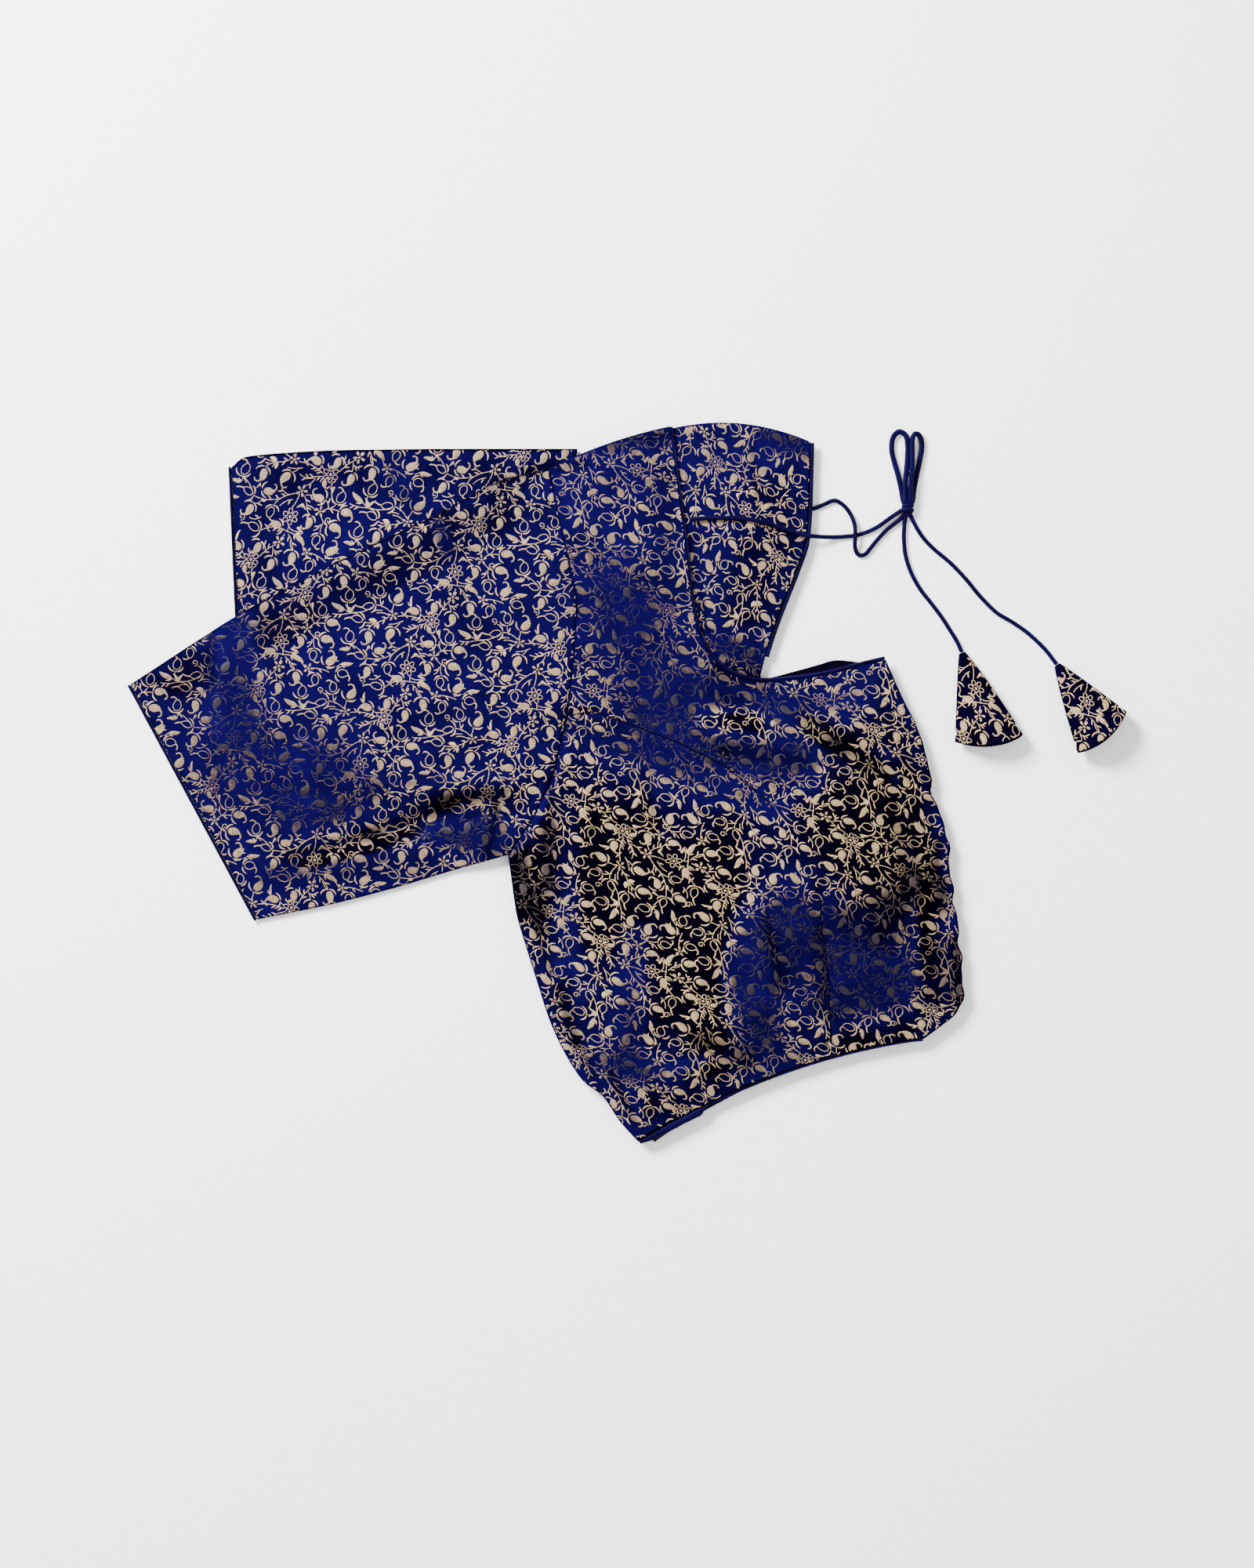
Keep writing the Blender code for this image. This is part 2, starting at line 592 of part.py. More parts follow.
def build():
    for item in list(bpy.data.objects):
        bpy.data.objects.remove(item, do_unlink=True)
    bpy.context.scene.unit_settings.system = "METRIC"
    brocade = material("brocade", BROCADE, 0.5)
    satin = material("plain_satin", SATIN, 0.4)
    lining = material("lining", LINING, 0.7)

    front_rows = smooth_rows(FRONT_ROWS, ROW_STEPS, (NECK_CORNER, UNDERARM))
    armhole = front_rows[: UNDERARM * ROW_STEPS + 1, 0:2]
    neckline = front_rows[: NECK_CORNER * ROW_STEPS + 1, 2:4]
    front_grid = panel_grid(front_rows, FRONT_COLUMNS)
    back_grid = panel_grid(smooth_rows(BACK_ROWS, ROW_STEPS), BACK_COLUMNS)
    inner_grid = panel_grid(smooth_rows(INNER_ROWS, INNER_STEPS), INNER_COLUMNS)

    # The free edge leaves out the armhole, where the sleeves hold the layers up
    back_edge = back_grid[:, -1]
    free_edge = np.vstack([
        front_grid[0], back_grid[0, 1:], back_edge[1:-BACK_COVERED_STEPS],
        front_grid[NECK_FREE_STEP:, -1], front_grid[-1, ::-1],
        front_grid[:UNDERARM * ROW_STEPS:-1, 0],
    ])

    def pile(points):
        return pile_height(points, free_edge)

    def front_top(points):
        return pile(points) + LAYER_GAP + CLOTH

    def back_top(points):
        return pile(points)

    def inner_top(points):
        return pile(points) - (LAYER_GAP + CLOTH) * step_down(points, neckline)

    add_pile("inner_layers", inner_grid, lowest_near(inner_top, inner_grid, INNER_REACH), 3, lining)
    add_wall("left_back", back_grid, back_top(back_grid), CLOTH, brocade)
    add_wall("right_front", front_grid, front_top(front_grid), CLOTH, brocade)

    left_grid = section_grid(LEFT_SLEEVE, LEFT_SLEEVE_STEPS, LEFT_SLEEVE_COLUMNS, LEFT_ARMHOLE)
    left_outline = boundary(left_grid)
    left_rim = np.vstack([left_outline, left_outline[:1]])

    def left_sleeve_top(points):
        return sleeve_heights(points, 0.0, LEFT_SLEEVE_PUFF, LEFT_SLEEVE_FOLDS, left_rim)

    left_high = left_sleeve_top(left_grid)
    add_tube_of_cloth("left_sleeve", left_grid, left_high * 0, left_high, SLEEVE_CLOTH, brocade)

    shift = np.array([(-SEAM_GAP, 0)])
    right_grid = section_grid(RIGHT_SLEEVE, SLEEVE_STEPS, RIGHT_SLEEVE_COLUMNS, armhole + shift)
    lies_on = inside(right_grid, left_outline)
    away = np.where(lies_on, 0, distance_to(right_grid, left_rim))
    tent = (SLEEVE_EDGE + SLEEVE_GAP) * (1 - smooth((away - TENT_START) / TENT_LENGTH))
    right_low = np.where(lies_on, left_sleeve_top(right_grid) + SLEEVE_GAP, tent)
    right_free = np.vstack([right_grid[-1:0:-1, 0], right_grid[0], right_grid[1:, -1]])
    right_high = sleeve_heights(right_grid, right_low, RIGHT_SLEEVE_PUFF, RIGHT_SLEEVE_FOLDS, right_free)
    near_body = 1 - smooth(distance_to(right_grid, armhole) / BLEND_LENGTH)
    body_level = np.maximum(front_top(right_grid), right_low + SLEEVE_EDGE)
    right_high = right_high * (1 - near_body) + body_level * near_body
    right_low = np.maximum(right_low, right_high - MOST_SLEEVE)
    add_tube_of_cloth("right_sleeve", right_grid, right_low, right_high, SLEEVE_CLOTH, brocade)

    def edge_line(line, height):
        return np.column_stack([line, height])

    neck_edge = edge_line(neckline, front_top(neckline) - CLOTH / 2)
    add_piping("neck_piping", neck_edge, (1, 1), satin, count=34)
    back_line = back_edge[:-BACK_PIPING_STEPS]
    add_piping("back_piping", edge_line(back_line, back_top(back_line) - CLOTH / 2), (1, 0), satin, count=20)
    hem = front_grid[-1]
    add_piping("hem_piping", edge_line(hem, front_top(hem) - CLOTH / 2), (0, -1), satin, 1.3, 0.9, 22)
    right_cuff = edge_line(right_grid[0], (right_low[0] + right_high[0]) / 2)
    add_piping("right_cuff_piping", right_cuff, (-1, 0), satin, 0.8, 1.4, 22)
    left_cuff = edge_line(left_grid[0], left_high[0] / 2)
    add_piping("left_cuff_piping", left_cuff, (-1, 0), satin, 0.8, 1.4, 16)

    cords = {
        "cord_lead_right": NEAR_LEAD, "cord_lead_left": FAR_LEAD,
        "bow_loop_left": LEFT_LOOP, "bow_loop_right": RIGHT_LOOP,
        "cord_tail_left": LEFT_TAIL, "cord_tail_right": RIGHT_TAIL,
    }
    for name, route in cords.items():
        add_cord(name, route, satin)
    add_knot("bow_knot", satin)
    add_tassel("tassel_left", LEFT_TASSEL, brocade)
    add_tassel("tassel_right", RIGHT_TASSEL, brocade)


build()
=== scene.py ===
"""Finish of a folded brocade saree blouse: satin panels with a gold vine, piping, tie cords and tassels.

Tables are in millimetres, in the frame of the solids: X from the sleeves to the front edge, Y from the hem to
the shoulder, Z up from the surface. Angles are in degrees.
"""

import math
from collections import namedtuple

import bpy
import numpy as np
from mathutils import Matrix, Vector
from mathutils.bvhtree import BVHTree


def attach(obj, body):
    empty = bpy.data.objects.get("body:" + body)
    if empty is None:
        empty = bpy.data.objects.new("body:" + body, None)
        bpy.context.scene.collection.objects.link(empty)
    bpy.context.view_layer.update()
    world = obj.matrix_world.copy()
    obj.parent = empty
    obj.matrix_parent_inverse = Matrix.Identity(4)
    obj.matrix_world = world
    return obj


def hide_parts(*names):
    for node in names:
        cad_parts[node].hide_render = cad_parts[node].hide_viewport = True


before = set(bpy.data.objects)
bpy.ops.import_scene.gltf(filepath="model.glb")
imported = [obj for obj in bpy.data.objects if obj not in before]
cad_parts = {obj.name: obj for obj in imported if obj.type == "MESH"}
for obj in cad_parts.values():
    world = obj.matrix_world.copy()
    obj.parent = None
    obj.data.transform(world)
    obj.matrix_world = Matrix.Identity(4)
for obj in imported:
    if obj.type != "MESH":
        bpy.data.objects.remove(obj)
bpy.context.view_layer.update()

MM = 0.001

# View
VIEW_CENTRE = (45.2, -0.2)
VIEW_HEIGHT = 860.0  # millimetres of the surface along the frame's long side
LENS, SENSOR = 85.0, 36.0
FLOOR_HALF = 6.0  # metres
LIT_SPOT = (0.05, 0, 0)  # metres

# Cloth
CLOTH = 1.6
SLEEVE_CLOTH = 1.3
LAYER_GAP = 0.4
INNER_LOWER = 0.2
SLEEVE_GAP = 0.8
SEAM_GAP = 0.25
PIPING_RADIUS = 1.0
PIPING_GAP = 0.3
HEM_PIPING = (1.3, 0.9)  # half width and half height
CUFF_PIPING = (0.8, 1.4)
BACK_PIPING_SHORT = 14  # rows of the left back's edge that run on under the right front
CORD_DIAMETER = 2.4
LOOP_DIAMETER = 3.0
EDGE_PILE, CORE_PILE, EDGE_ROLL = 5.2, 9.0, 38.0
SLEEVE_EDGE = 3.4
LEFT_SLEEVE_PUFF, RIGHT_SLEEVE_PUFF, SLEEVE_ROLL = 1.9, 3.6, 30.0
SLEEVE_HOLLOW, SLEEVE_TURN, MOST_WALL, MOST_SLEEVE = 3.0, 0.9, 2.8, 8.4
TENT_START, TENT_LENGTH = 4.0, 16.0
BLEND_LENGTH = 34.0
UNDERLAP = 6.0
UNDER_LIFT = 0.3  # room for the gold under the lowest cloth
EDGE_ROUND = 0.35  # how far a panel's turned edge swells out
GROOVES = ((0.2, -0.2), (0.55, 0.0), (0.85, 0.7))  # down a hidden layer's edge: share of it, and how far in

Row = namedtuple("Row", "left_x left_y right_x right_y bow")
Fold = namedtuple("Fold", "x0 y0 x1 y1 width height")
Section = namedtuple("Section", "fold_x fold_y under_x under_y")


def table(kind, rows):
    """Rows of one kind, each with its columns named."""
    return [kind(*row) for row in rows]


# Right front, from the shoulder to the hem
FRONT_ROWS = table(Row, (
    (2.5, 172, 69, 195, 2.5), (8, 146.5, 73.5, 159, 1.5), (14, 119.5, 77.5, 129, 0.5),
    (18, 98, 80.5, 101, 0), (17, 79.5, 85.5, 79, 0), (15.5, 61.5, 101, 60.5, 0), (14, 49, 120.5, 55.5, 0),
    (12.5, 36.5, 148.5, 58.5, 0), (9, 21.5, 174, 64.5, 0), (4.5, 3, 186.5, 67.5, 1),
    (-6.5, -19.5, 196, 46, 1.5), (-19.5, -39, 202.5, 33.5, 2.5), (-17.5, -54, 208.5, 16, 3.5),
    (-15, -71, 213, -9, 4), (-10, -88.5, 220, -28, 4.5), (-4, -107.5, 222, -51, 5),
    (3, -129, 225.5, -75.5, 6), (11, -146.5, 227.5, -95, 7), (22, -163, 229, -113, 7.5),
    (31.5, -170, 226, -124, 8.5), (41.5, -184.5, 216.5, -132.5, 9), (51.5, -195.5, 207, -139.5, 9.5),
))
NECK_CORNER, UNDERARM = 9, 11

# Left back, from the shoulder to the point where it goes under the right front
BACK_ROWS = table(Row, (
    (65, 192.5, 145.5, 186.5, 7.5), (69, 172, 145, 167.5, 1.5), (71, 150.5, 144.5, 150.5, 0),
    (72.5, 133, 143, 133, 0), (74.5, 116, 137.5, 116, 0), (76, 98.5, 131, 99.5, 0),
    (79.5, 81.5, 125, 83.5, 0), (87.5, 66.5, 120, 67.5, 0), (99, 52, 117.5, 57.5, 0),
))

# Hidden layers: right back, left front and the lower part of the left back
INNER_ROWS = table(Row, (
    (21, 178, 144, 184.5, 13), (17, 154.5, 143.5, 153.5, 2), (15.5, 129, 140, 130.5, 0),
    (20, 98, 130, 101, 0), (19, 79.5, 123, 83.5, 0), (17.5, 61.5, 118, 66, 0), (16, 48, 119, 53.5, 0),
    (15, 40.5, 137, 57.5, 0), (14, 32, 148.5, 64, 0), (12, 21.5, 160.5, 67.5, 0), (8.5, 10.5, 175, 66, 0),
    (6, 2, 185, 65.5, 0), (-4, -20.5, 194, 45, 1), (-17.5, -40, 200.5, 32.5, 1.5),
    (-16, -54, 206.5, 15.5, 2.5), (-13.5, -71, 210.5, -9, 3.5), (-8, -88.5, 218, -28.5, 4.5),
    (-2, -107.5, 219.5, -51.5, 5), (4.5, -129, 223, -76, 6), (12.5, -145.5, 225.5, -95, 7),
    (23.5, -162, 226.5, -113, 7.5), (33, -169, 223.5, -123, 8.5), (44, -181.5, 214.5, -131.5, 9.5),
    (60.5, -195.9, 205, -137, 9.6),
))

# Sleeves, from the cuff to the armhole
RIGHT_SLEEVE = table(Section, (
    (-227, 54.5, -157.5, -74.5), (-171.5, 90, -116, -66), (-114, 120.5, -81.5, -57),
    (-58, 147.5, -51.5, -48), (-23.5, 165.5, -32, -42.5), (2.5, 172, -19.5, -39),
))
LEFT_SLEEVE = table(Section, (
    (-171.5, 173.5, -165, 25.5), (-164, 179, -157, 21.5), (-104.5, 183, -109.5, 8.5),
    (-41, 183.5, -58, 2), (18, 183.5, 0, 2),
))
LEFT_ARMHOLE = ((18, 183.5), (14, 154), (12.5, 129), (15, 98), (14, 79), (12, 60), (9, 40), (0, 2))

# Girth of a piping at shares of its length
EVEN_GIRTH = ((0, 1), (1, 1))
NECK_GIRTHS = ((0, 0.55), (0.45, 0.55), (0.6, 1), (1, 1))
HEM_GIRTHS = ((0, 0.6), (0.05, 1.5), (0.22, 1.6), (0.25, 0.5), (1, 0.45))

# Largest folds, as in the solids
BODY_FOLDS = table(Fold, (
    (138, -30, 142, -40, 62, 7.0), (118, -110, 128, -78, 26, 2.6), (75, -55, 92, -150, 17, 2.4),
    (12, 37, 124, -10, 6, -1.8), (150, -62, 155, -128, 6, -1.8), (108, -30, 100, -140, 12, -1.8),
    (28, -20, 52, -130, 13, 2.0), (0, -52, 18, -110, 8, -1.4), (186, 40, 206, -12, 7, 1.6),
    (206, -20, 203, -110, 6, 1.6), (176, -25, 186, -60, 12, -1.6), (104, 36, 140, 42, 14, 1.6),
    (122, 20, 190, 20, 8, -1.4), (46, 95, 48, 150, 18, 1.4),
))
RIGHT_SLEEVE_FOLDS = table(Fold, (
    (-138, -44, -50, -16, 9, -3.0), (-46, -14, 0, 4, 8, -2.2), (-110, 8, -70, 10, 26, 2.2),
    (-30, 70, -10, 20, 16, 1.6), (-34, -34, 0, 2, 5, 1.8), (-190, 30, -160, -20, 15, 1.0),
))
LEFT_SLEEVE_FOLDS = table(Fold, (
    (-90, 178, -60, 150, 10, -0.5), (-140, 160, -120, 120, 18, 1.0), (-30, 172, -10, 150, 12, 0.4),
))

# Creases finer than the solids hold
BODY_CREASES = table(Fold, (
    (54, 8, 62, -26, 4.5, -0.8), (62, -26, 78, -69, 5.0, -1.0), (78, -69, 82, -120, 5.5, -1.1),
    (82, -120, 101, -150, 5.0, -0.9), (28, -6, 31, -84, 3.5, -0.7), (-6, -44, -7, -66, 3.5, -0.8),
    (2, -52, 24, -120, 3.2, 0.6), (148, 34, 190, 5, 4.0, -0.7), (190, 5, 200, -66, 4.5, -0.9),
    (213, -18, 219, -118, 4.0, -0.8), (196, 40, 204, -6, 2.6, -0.6), (205, -40, 211, -54, 2.2, -0.6),
    (206, -64, 213, -74, 2.2, -0.6), (204, -84, 215, -90, 2.6, 0.6), (203, -104, 216, -106, 2.4, -0.5),
    (122, -73, 131, -112, 2.6, -0.5), (160, -76, 190, -88, 4.0, 0.6), (162, -104, 196, -112, 4.5, -0.5),
    (20, 62, 60, 84, 5.0, 0.4), (30, 120, 62, 140, 6.0, -0.4), (96, 172, 122, 160, 5.0, 0.4),
    (84, 130, 118, 122, 6.0, -0.4), (60, -160, 110, -150, 5.0, 0.6), (120, -148, 180, -136, 6.0, 0.5),
    (30, -150, 44, -172, 4.0, -0.6),
))
SLEEVE_CREASES = table(Fold, (
    (-136, -41, -96, -30, 3.6, -0.9), (-96, -30, -50, -17, 3.2, -0.8), (-150, -52, -110, -47, 4.0, 0.6),
    (-94, 34, -34, 17, 5.5, -0.6), (-60, 6, -16, 8, 3.6, -0.6), (-28, -22, -4, -2, 2.4, -0.6),
    (-44, -32, -24, -26, 3.0, 0.5), (-200, 46, -176, 4, 6.0, 0.5), (-150, 70, -118, 52, 7.0, -0.4),
    (-92, 110, -60, 84, 7.0, 0.5), (-36, 140, -16, 100, 5.0, -0.5),
))
FAR_SLEEVE_CREASES = table(Fold, (
    (-92, 176, -58, 150, 4.0, -0.5), (-150, 172, -110, 168, 4.0, 0.3), (-46, 176, -14, 168, 3.6, -0.4),
))

SLOPE_SHEEN_PAINT = 1.8  # how strongly the satin's slope towards the lit side is painted into its sheen
LIT_SIDE = (-0.6, 0.8)
DART_DIP = (0.75, 1.5, 0.5)  # depth, width and pucker of a dart's seam
DART_HALF, DART_LIFT = 0.34, 0.24

# Painted sheen of the satin, standing in for its changing reflection: above 0 the gold is painted dim, below
# 0 the blue is painted towards black
PAINTED_SHEEN_ROWS = table(Fold, (
    (60, -60, 150, -60, 85, -0.4), (48, 88, 62, 36, 30, 0.68), (84, 52, 118, 46, 11, 0.6),
    (62, 26, 120, 2, 18, 0.55), (96, 18, 138, 14, 8, 0.7), (90, 34, 114, 36, 8, -0.9),
    (134, 34, 146, 2, 8, 0.4), (142, 32, 178, 10, 6, -0.5), (160, -10, 186, -24, 20, -0.3),
    (66, -38, 112, -56, 16, -0.4), (84, -64, 84, -132, 10, -0.5), (28, -14, 29, -84, 6, -0.5),
    (-8, -44, -8, -62, 9, -0.6), (14, -60, 10, -100, 7, 0.3), (50, -84, 46, -150, 9, 0.8),
    (30, -152, 62, -160, 9, 0.6), (136, -80, 174, -96, 25, 1.7), (114, -104, 120, -136, 15, 1.3),
    (150, -122, 196, -112, 13, 0.8), (150, -148, 196, -138, 7, -0.3), (76, -160, 150, -146, 9, 0.35),
    (98, 76, 116, 70, 9, 0.9), (122, 190, 142, 184, 7, 0.8), (20, 184, 66, 190, 7, 0.6),
    (26, 120, 44, 100, 20, 0.3), (60, 160, 66, 128, 8, 0.25), (-172, 84, -168, 34, 12, 0.75),
    (30, -20, 60, -110, 24, -0.22), (222, -20, 222, -110, 10, 0.25), (-150, -50, -70, -46, 9, 0.4),
    (-164, 12, -124, 6, 25, 0.75), (-138, -18, -98, -10, 14, 0.6), (-96, -4, -58, 2, 5, 0.4),
    (-130, -42, -56, -18, 6, -0.6), (-84, -28, -60, -24, 5, 0.4), (-54, -26, -28, -30, 11, 1.1),
    (-86, 176, -72, 152, 4.5, 0.3), (-58, 142, -53, 128, 3.4, 0.5),
))

# Painted shade in troughs, tucks and tight creases, which darkens blue and gold alike
PAINTED_SHADE_ROWS = table(Fold, (
    (-140, -40, -96, -28, 3.4, 0.6), (-96, -28, -54, -12, 4.6, 0.75), (-56, -9, -22, -5, 5.5, 0.85),
    (-26, -12, -31, -38, 3.0, 0.7), (-14, -42, -12, -68, 7.0, 1.3), (2, -26, 2, -56, 5.5, 1.1),
    (-4, -60, -2, -80, 4.0, 0.75), (6, 12, 2, 0, 2.6, 0.6), (3, -4, 5, -28, 2.4, 0.6),
    (8, -60, 0, -72, 3.0, 0.4), (-6, -72, 4, -104, 2.6, 0.6), (8, -112, 17, -140, 3.8, 0.85),
    (18, -142, 26, -158, 3.0, 0.5), (36, -158, 49, -184, 2.6, 0.7), (28, -20, 29, -62, 5.5, 0.4),
    (54, 4, 60, -18, 4.0, 0.45), (66, -40, 74, -50, 5.0, 0.25), (10, 34, 40, 28, 9.0, 0.25),
    (96, 62, 118, 58, 6.0, 0.8), (90, 49, 106, 46, 4.0, 0.45), (84, 28, 98, 18, 3.4, 0.45),
    (100, 17, 140, 13, 5.5, 0.6), (142, 35, 160, 21, 6.0, 0.65), (160, 21, 181, 9, 6.0, 0.65),
    (178, 2, 190, -14, 8.0, 0.2), (194, -24, 200, -48, 9.0, 0.55), (204, -56, 184, -80, 11.0, 0.92),
    (184, -62, 162, -74, 8.0, 0.6), (204, -18, 209, -72, 1.8, -0.45), (215, -32, 214, -46, 4.0, 0.7),
    (217, -54, 217, -68, 4.5, 0.85), (213, -92, 215, -112, 9.0, 0.75), (225, -86, 227, -120, 4.0, 0.85),
    (214, -14, 210, 8, 3.0, 0.3), (84, -139, 110, -150, 7.5, 0.8), (60, -176, 190, -142, 9, 0.2),
    (-150, -52, -60, -42, 8, 0.25), (121, -74, 130, -112, 4.0, 0.55), (122, -84, 134, -100, 6.0, 0.35),
    (151, -80, 153, -112, 4.0, 0.6), (152, -118, 162, -132, 4.0, 0.4), (96, -96, 84, -112, 3.0, 0.3),
    (-58, 143, -52, 127, 4.0, 0.5), (-86, 177, -73, 152, 5.0, 0.3), (-42, 126, -48, 100, 7.0, 0.2),
    (-28, 163, -8, 171, 2.6, 0.55), (-8, 172, 22, 175, 3.4, 0.55), (20, 184, 68, 191, 3.4, 0.5),
    (66, 166, 68, 130, 6.0, 0.25), (113, 182, 117, 152, 1.7, 0.5), (80, 134, 88, 84, 2.4, 0.5),
    (124, 84, 131, 100, 2.4, 0.3), (18, 104, 19, 92, 2.4, 0.35), (15, 78, 13, 46, 1.4, 0.25),
    (12, 42, 8, 18, 1.6, 0.4), (-200, 8, -186, -16, 3.0, 0.4), (-172, 40, -174, 62, 4.0, 0.25),
    (-70, 34, -44, 40, 5.0, 0.25), (-30, 24, -60, 12, 4.0, 0.25),
))

# Tie cords: points that each one follows
NEAR_LEAD = (
    (79.9, 144.1, 10.7), (88, 144.8, 10.7), (97, 145, 10.7), (110, 144.6, 10.5), (122, 142, 9.5),
    (134, 138.3, 7.6), (142, 136, 6.9), (149, 135.2, 5.4), (156, 135, 2.8), (163, 135.3, 1.2),
    (171, 136.2, 1.1), (177, 138, 1.1), (183, 141, 1.2), (189, 145.3, 1.4), (194.9, 149.3, 1.9),
)
FAR_LEAD = (
    (146.9, 150.5, 1.15), (150, 151.6, 1.15), (153.5, 153.2, 1.15), (159, 155.2, 1.15),
    (164, 152.5, 1.2), (168, 147, 1.9), (170, 141, 3.3), (170.2, 135, 3.9), (170.1, 129.8, 2.6),
    (171.8, 125.6, 1.4), (175.6, 125.6, 1.15), (179.3, 129.8, 1.15), (183, 134.3, 1.15),
    (187.5, 139, 1.15), (191.5, 142.2, 1.2), (195.1, 145.1, 1.5),
)
LEFT_LOOP = (
    (196.6, 155.15, 1.6), (195.4, 162, 1.25), (193.8, 169, 1.25), (191.8, 176, 1.25), (190.3, 183, 1.25),
    (191, 189.5, 1.25), (194.3, 192.9, 1.4), (198, 190.8, 1.9), (199, 185, 2.6), (198.8, 178, 3.2),
    (198.1, 170.5, 3.8), (197.6, 163, 4.1), (197.8, 156.0, 4.2),
)
RIGHT_LOOP = (
    (201.7, 155.0, 1.6), (202.6, 162, 1.45), (204, 169, 1.45), (205.5, 176, 1.45), (206.7, 182.5, 1.45),
    (206.8, 186.8, 1.6), (205.8, 190.2, 1.9), (203.9, 191.7, 2.5), (202.1, 190.4, 3.3), (201.4, 187, 4),
    (201.3, 181.5, 4.5), (201.3, 175, 4.8), (200.9, 168.5, 5), (200.5, 162, 4.9), (200.4, 156.1, 4.6),
)
LEFT_TAIL = (
    (197.9, 146.2, 1.6), (197.2, 141, 1.25), (197, 134, 1.25), (197.9, 125, 1.25), (201, 115.5, 1.25),
    (206, 106.5, 1.25), (212, 98.8, 1.25), (217.5, 91.5, 1.25), (222, 84.5, 1.25), (226, 78, 1.25),
    (228.72, 72.2, 1.25),
)
RIGHT_TAIL = (
    (200.9, 146.6, 1.6), (203, 142, 1.25), (207, 135.5, 1.25), (213, 129, 1.25), (223, 120.5, 1.25),
    (231.5, 111.5, 1.25), (238.5, 103, 1.25), (247.5, 94, 1.25), (256.5, 88.5, 1.25), (265, 82.5, 1.25),
    (274, 74, 1.25), (280.7, 65.45, 1.25),
)
KNOT_CENTRE = (199, 151)
KNOT_HALF = (3.3, 4.4, 3.4)
KNOT_REACH = 8.0
KNOT_CORD = 1.3  # radius of the cord wrapped around it
KNOT_CORE = ((199.2, 146.7, 2.2), (199.1, 149, 2.9), (199.0, 152, 3.2), (199.1, 155.2, 2.6))

Tassel = namedtuple("Tassel", "apex_x apex_y turn length rim_width rim_height skew")
LEFT_TASSEL = Tassel(228.9, 71.7, -73, 49, 37, 13, 0.07)
RIGHT_TASSEL = Tassel(281.0, 65.0, -57, 44, 35, 16, -0.05)
TASSEL_NECK = 3.4
# painted sheen of a tassel's blue ground and of its gold
TASSEL_PAINTED_SHEEN, TASSEL_GOLD_PAINTED_SHEEN = -0.35, -1.0
# Down a tassel's turned rim: share of its length, and how far it is tucked in
RIM = ((0.88, 0.5), (0.9, 0.95), (0.92, 0.5), (0.945, 0.1), (0.97, 0.0), (1.0, 0.1), (1.015, 1.2))

# The woven repeat, charted in millimetres: step_a runs from rosette row to rosette row, step_b
# across. Heading is the way that a motif grows, bend the way that its tip curls.
REPEAT_A, REPEAT_B = (-25.2, -51.7), (68.7, -12.6)
Motif = namedtuple("Motif", "kind x y heading bend size")
Stem = namedtuple("Stem", "x0 y0 x1 y1 bow")
MOTIFS = [Motif(kind, *row) for kind, rows in (
    ("rosette", (
        (0, 0, 90, 0, 1.0), (12.7, 25.9, 90, 0, 1.0),
    )),
    ("flower", (
        (1.2, 13.9, 80, 0, 1.05), (24.1, 38.2, 60, 0, 1.1), (40.2, 37.3, 70, 0, 0.95),
        (-8.4, 27.6, 100, 0, 0.95), (14.1, 6.8, 20, 0, 0.95),
    )),
    ("hatched", (
        (-22, 19.3, -95, -1, 1.0), (-7.6, 20.7, -112, 1, 1.05), (-18.9, 8.6, 15, 1, 0.95),
        (-21.7, 0.6, -112, -1, 0.95), (-2.4, -6.1, 190, 1, 0.95), (-7.8, 34.4, 58, 1, 1.05),
        (24.2, -12.2, 52, 1, 1.05), (6.2, 29.2, 176, 1, 1.0), (14.2, 35.6, -108, -1, 0.95),
        (32.7, 35.8, -90, -1, 1.0), (23.6, 29.8, -100, -1, 0.95), (10.6, 22.9, -62, 1, 0.62),
        (14.4, 13.4, 172, -1, 1.0), (24.2, 9.8, -6, -1, 1.0), (21.0, 1.4, -14, -1, 1.05),
        (10.2, 3.1, -95, -1, 0.9),
    )),
    ("leaf", (
        (34, 17.6, 162, -1, 1.05), (5.6, -7.6, -22, -1, 1.05), (-36, 1.2, -4, 1, 0.85),
        (37, -3.8, 174, 1, 0.75),
    )),
    ("ring", (
        (-15.3, 37.2, 98, 1, 0.9), (-13.4, 47.6, -8, -1, 0.95), (18.0, -4.2, -90, 1, 0.9),
        (43.6, 34.6, -98, -1, 0.9), (35.8, 21.8, 84, 1, 1.0), (21.3, 13.3, 84, 1, 1.0),
        (36.3, -0.2, 86, 1, 1.0), (-10.6, 2.3, -86, 1, 0.9),
    )),
    ("oval", (
        (11.8, 40.8, 178, 1, 1.05), (50.6, 20.4, 182, -1, 1.0), (44.6, 11.8, 178, 1, 1.0),
        (-23, 4.8, 173, 1, 0.95),
    )),
    ("curl", (
        (-1.4, 43, 0, 1, 0.9), (18.2, 5.4, 0, -1, 0.9), (44.6, 24.6, 0, 1, 0.85),
    )),
    ("bead", (
        (-17.2, 24.4, 168, 1, 1.15), (-16.4, 23.6, -95, 1, 0.95), (-17.8, 3.7, 0, 1, 0.7),
    )),
    ("blade", (
        (37.4, 15.7, 112, 1, 0.8), (37.6, 15.9, 66, -1, 0.8), (1.6, 32.6, 96, -1, 0.85),
        (30.6, 47.4, -14, -1, 0.7), (4, 8, -122, -1, 0.55), (4.1, 8, -52, 1, 0.55),
        (-21.4, 11.4, -104, -1, 0.5), (17.2, 20.6, -102, 1, 0.7),
    )),
) for row in rows]
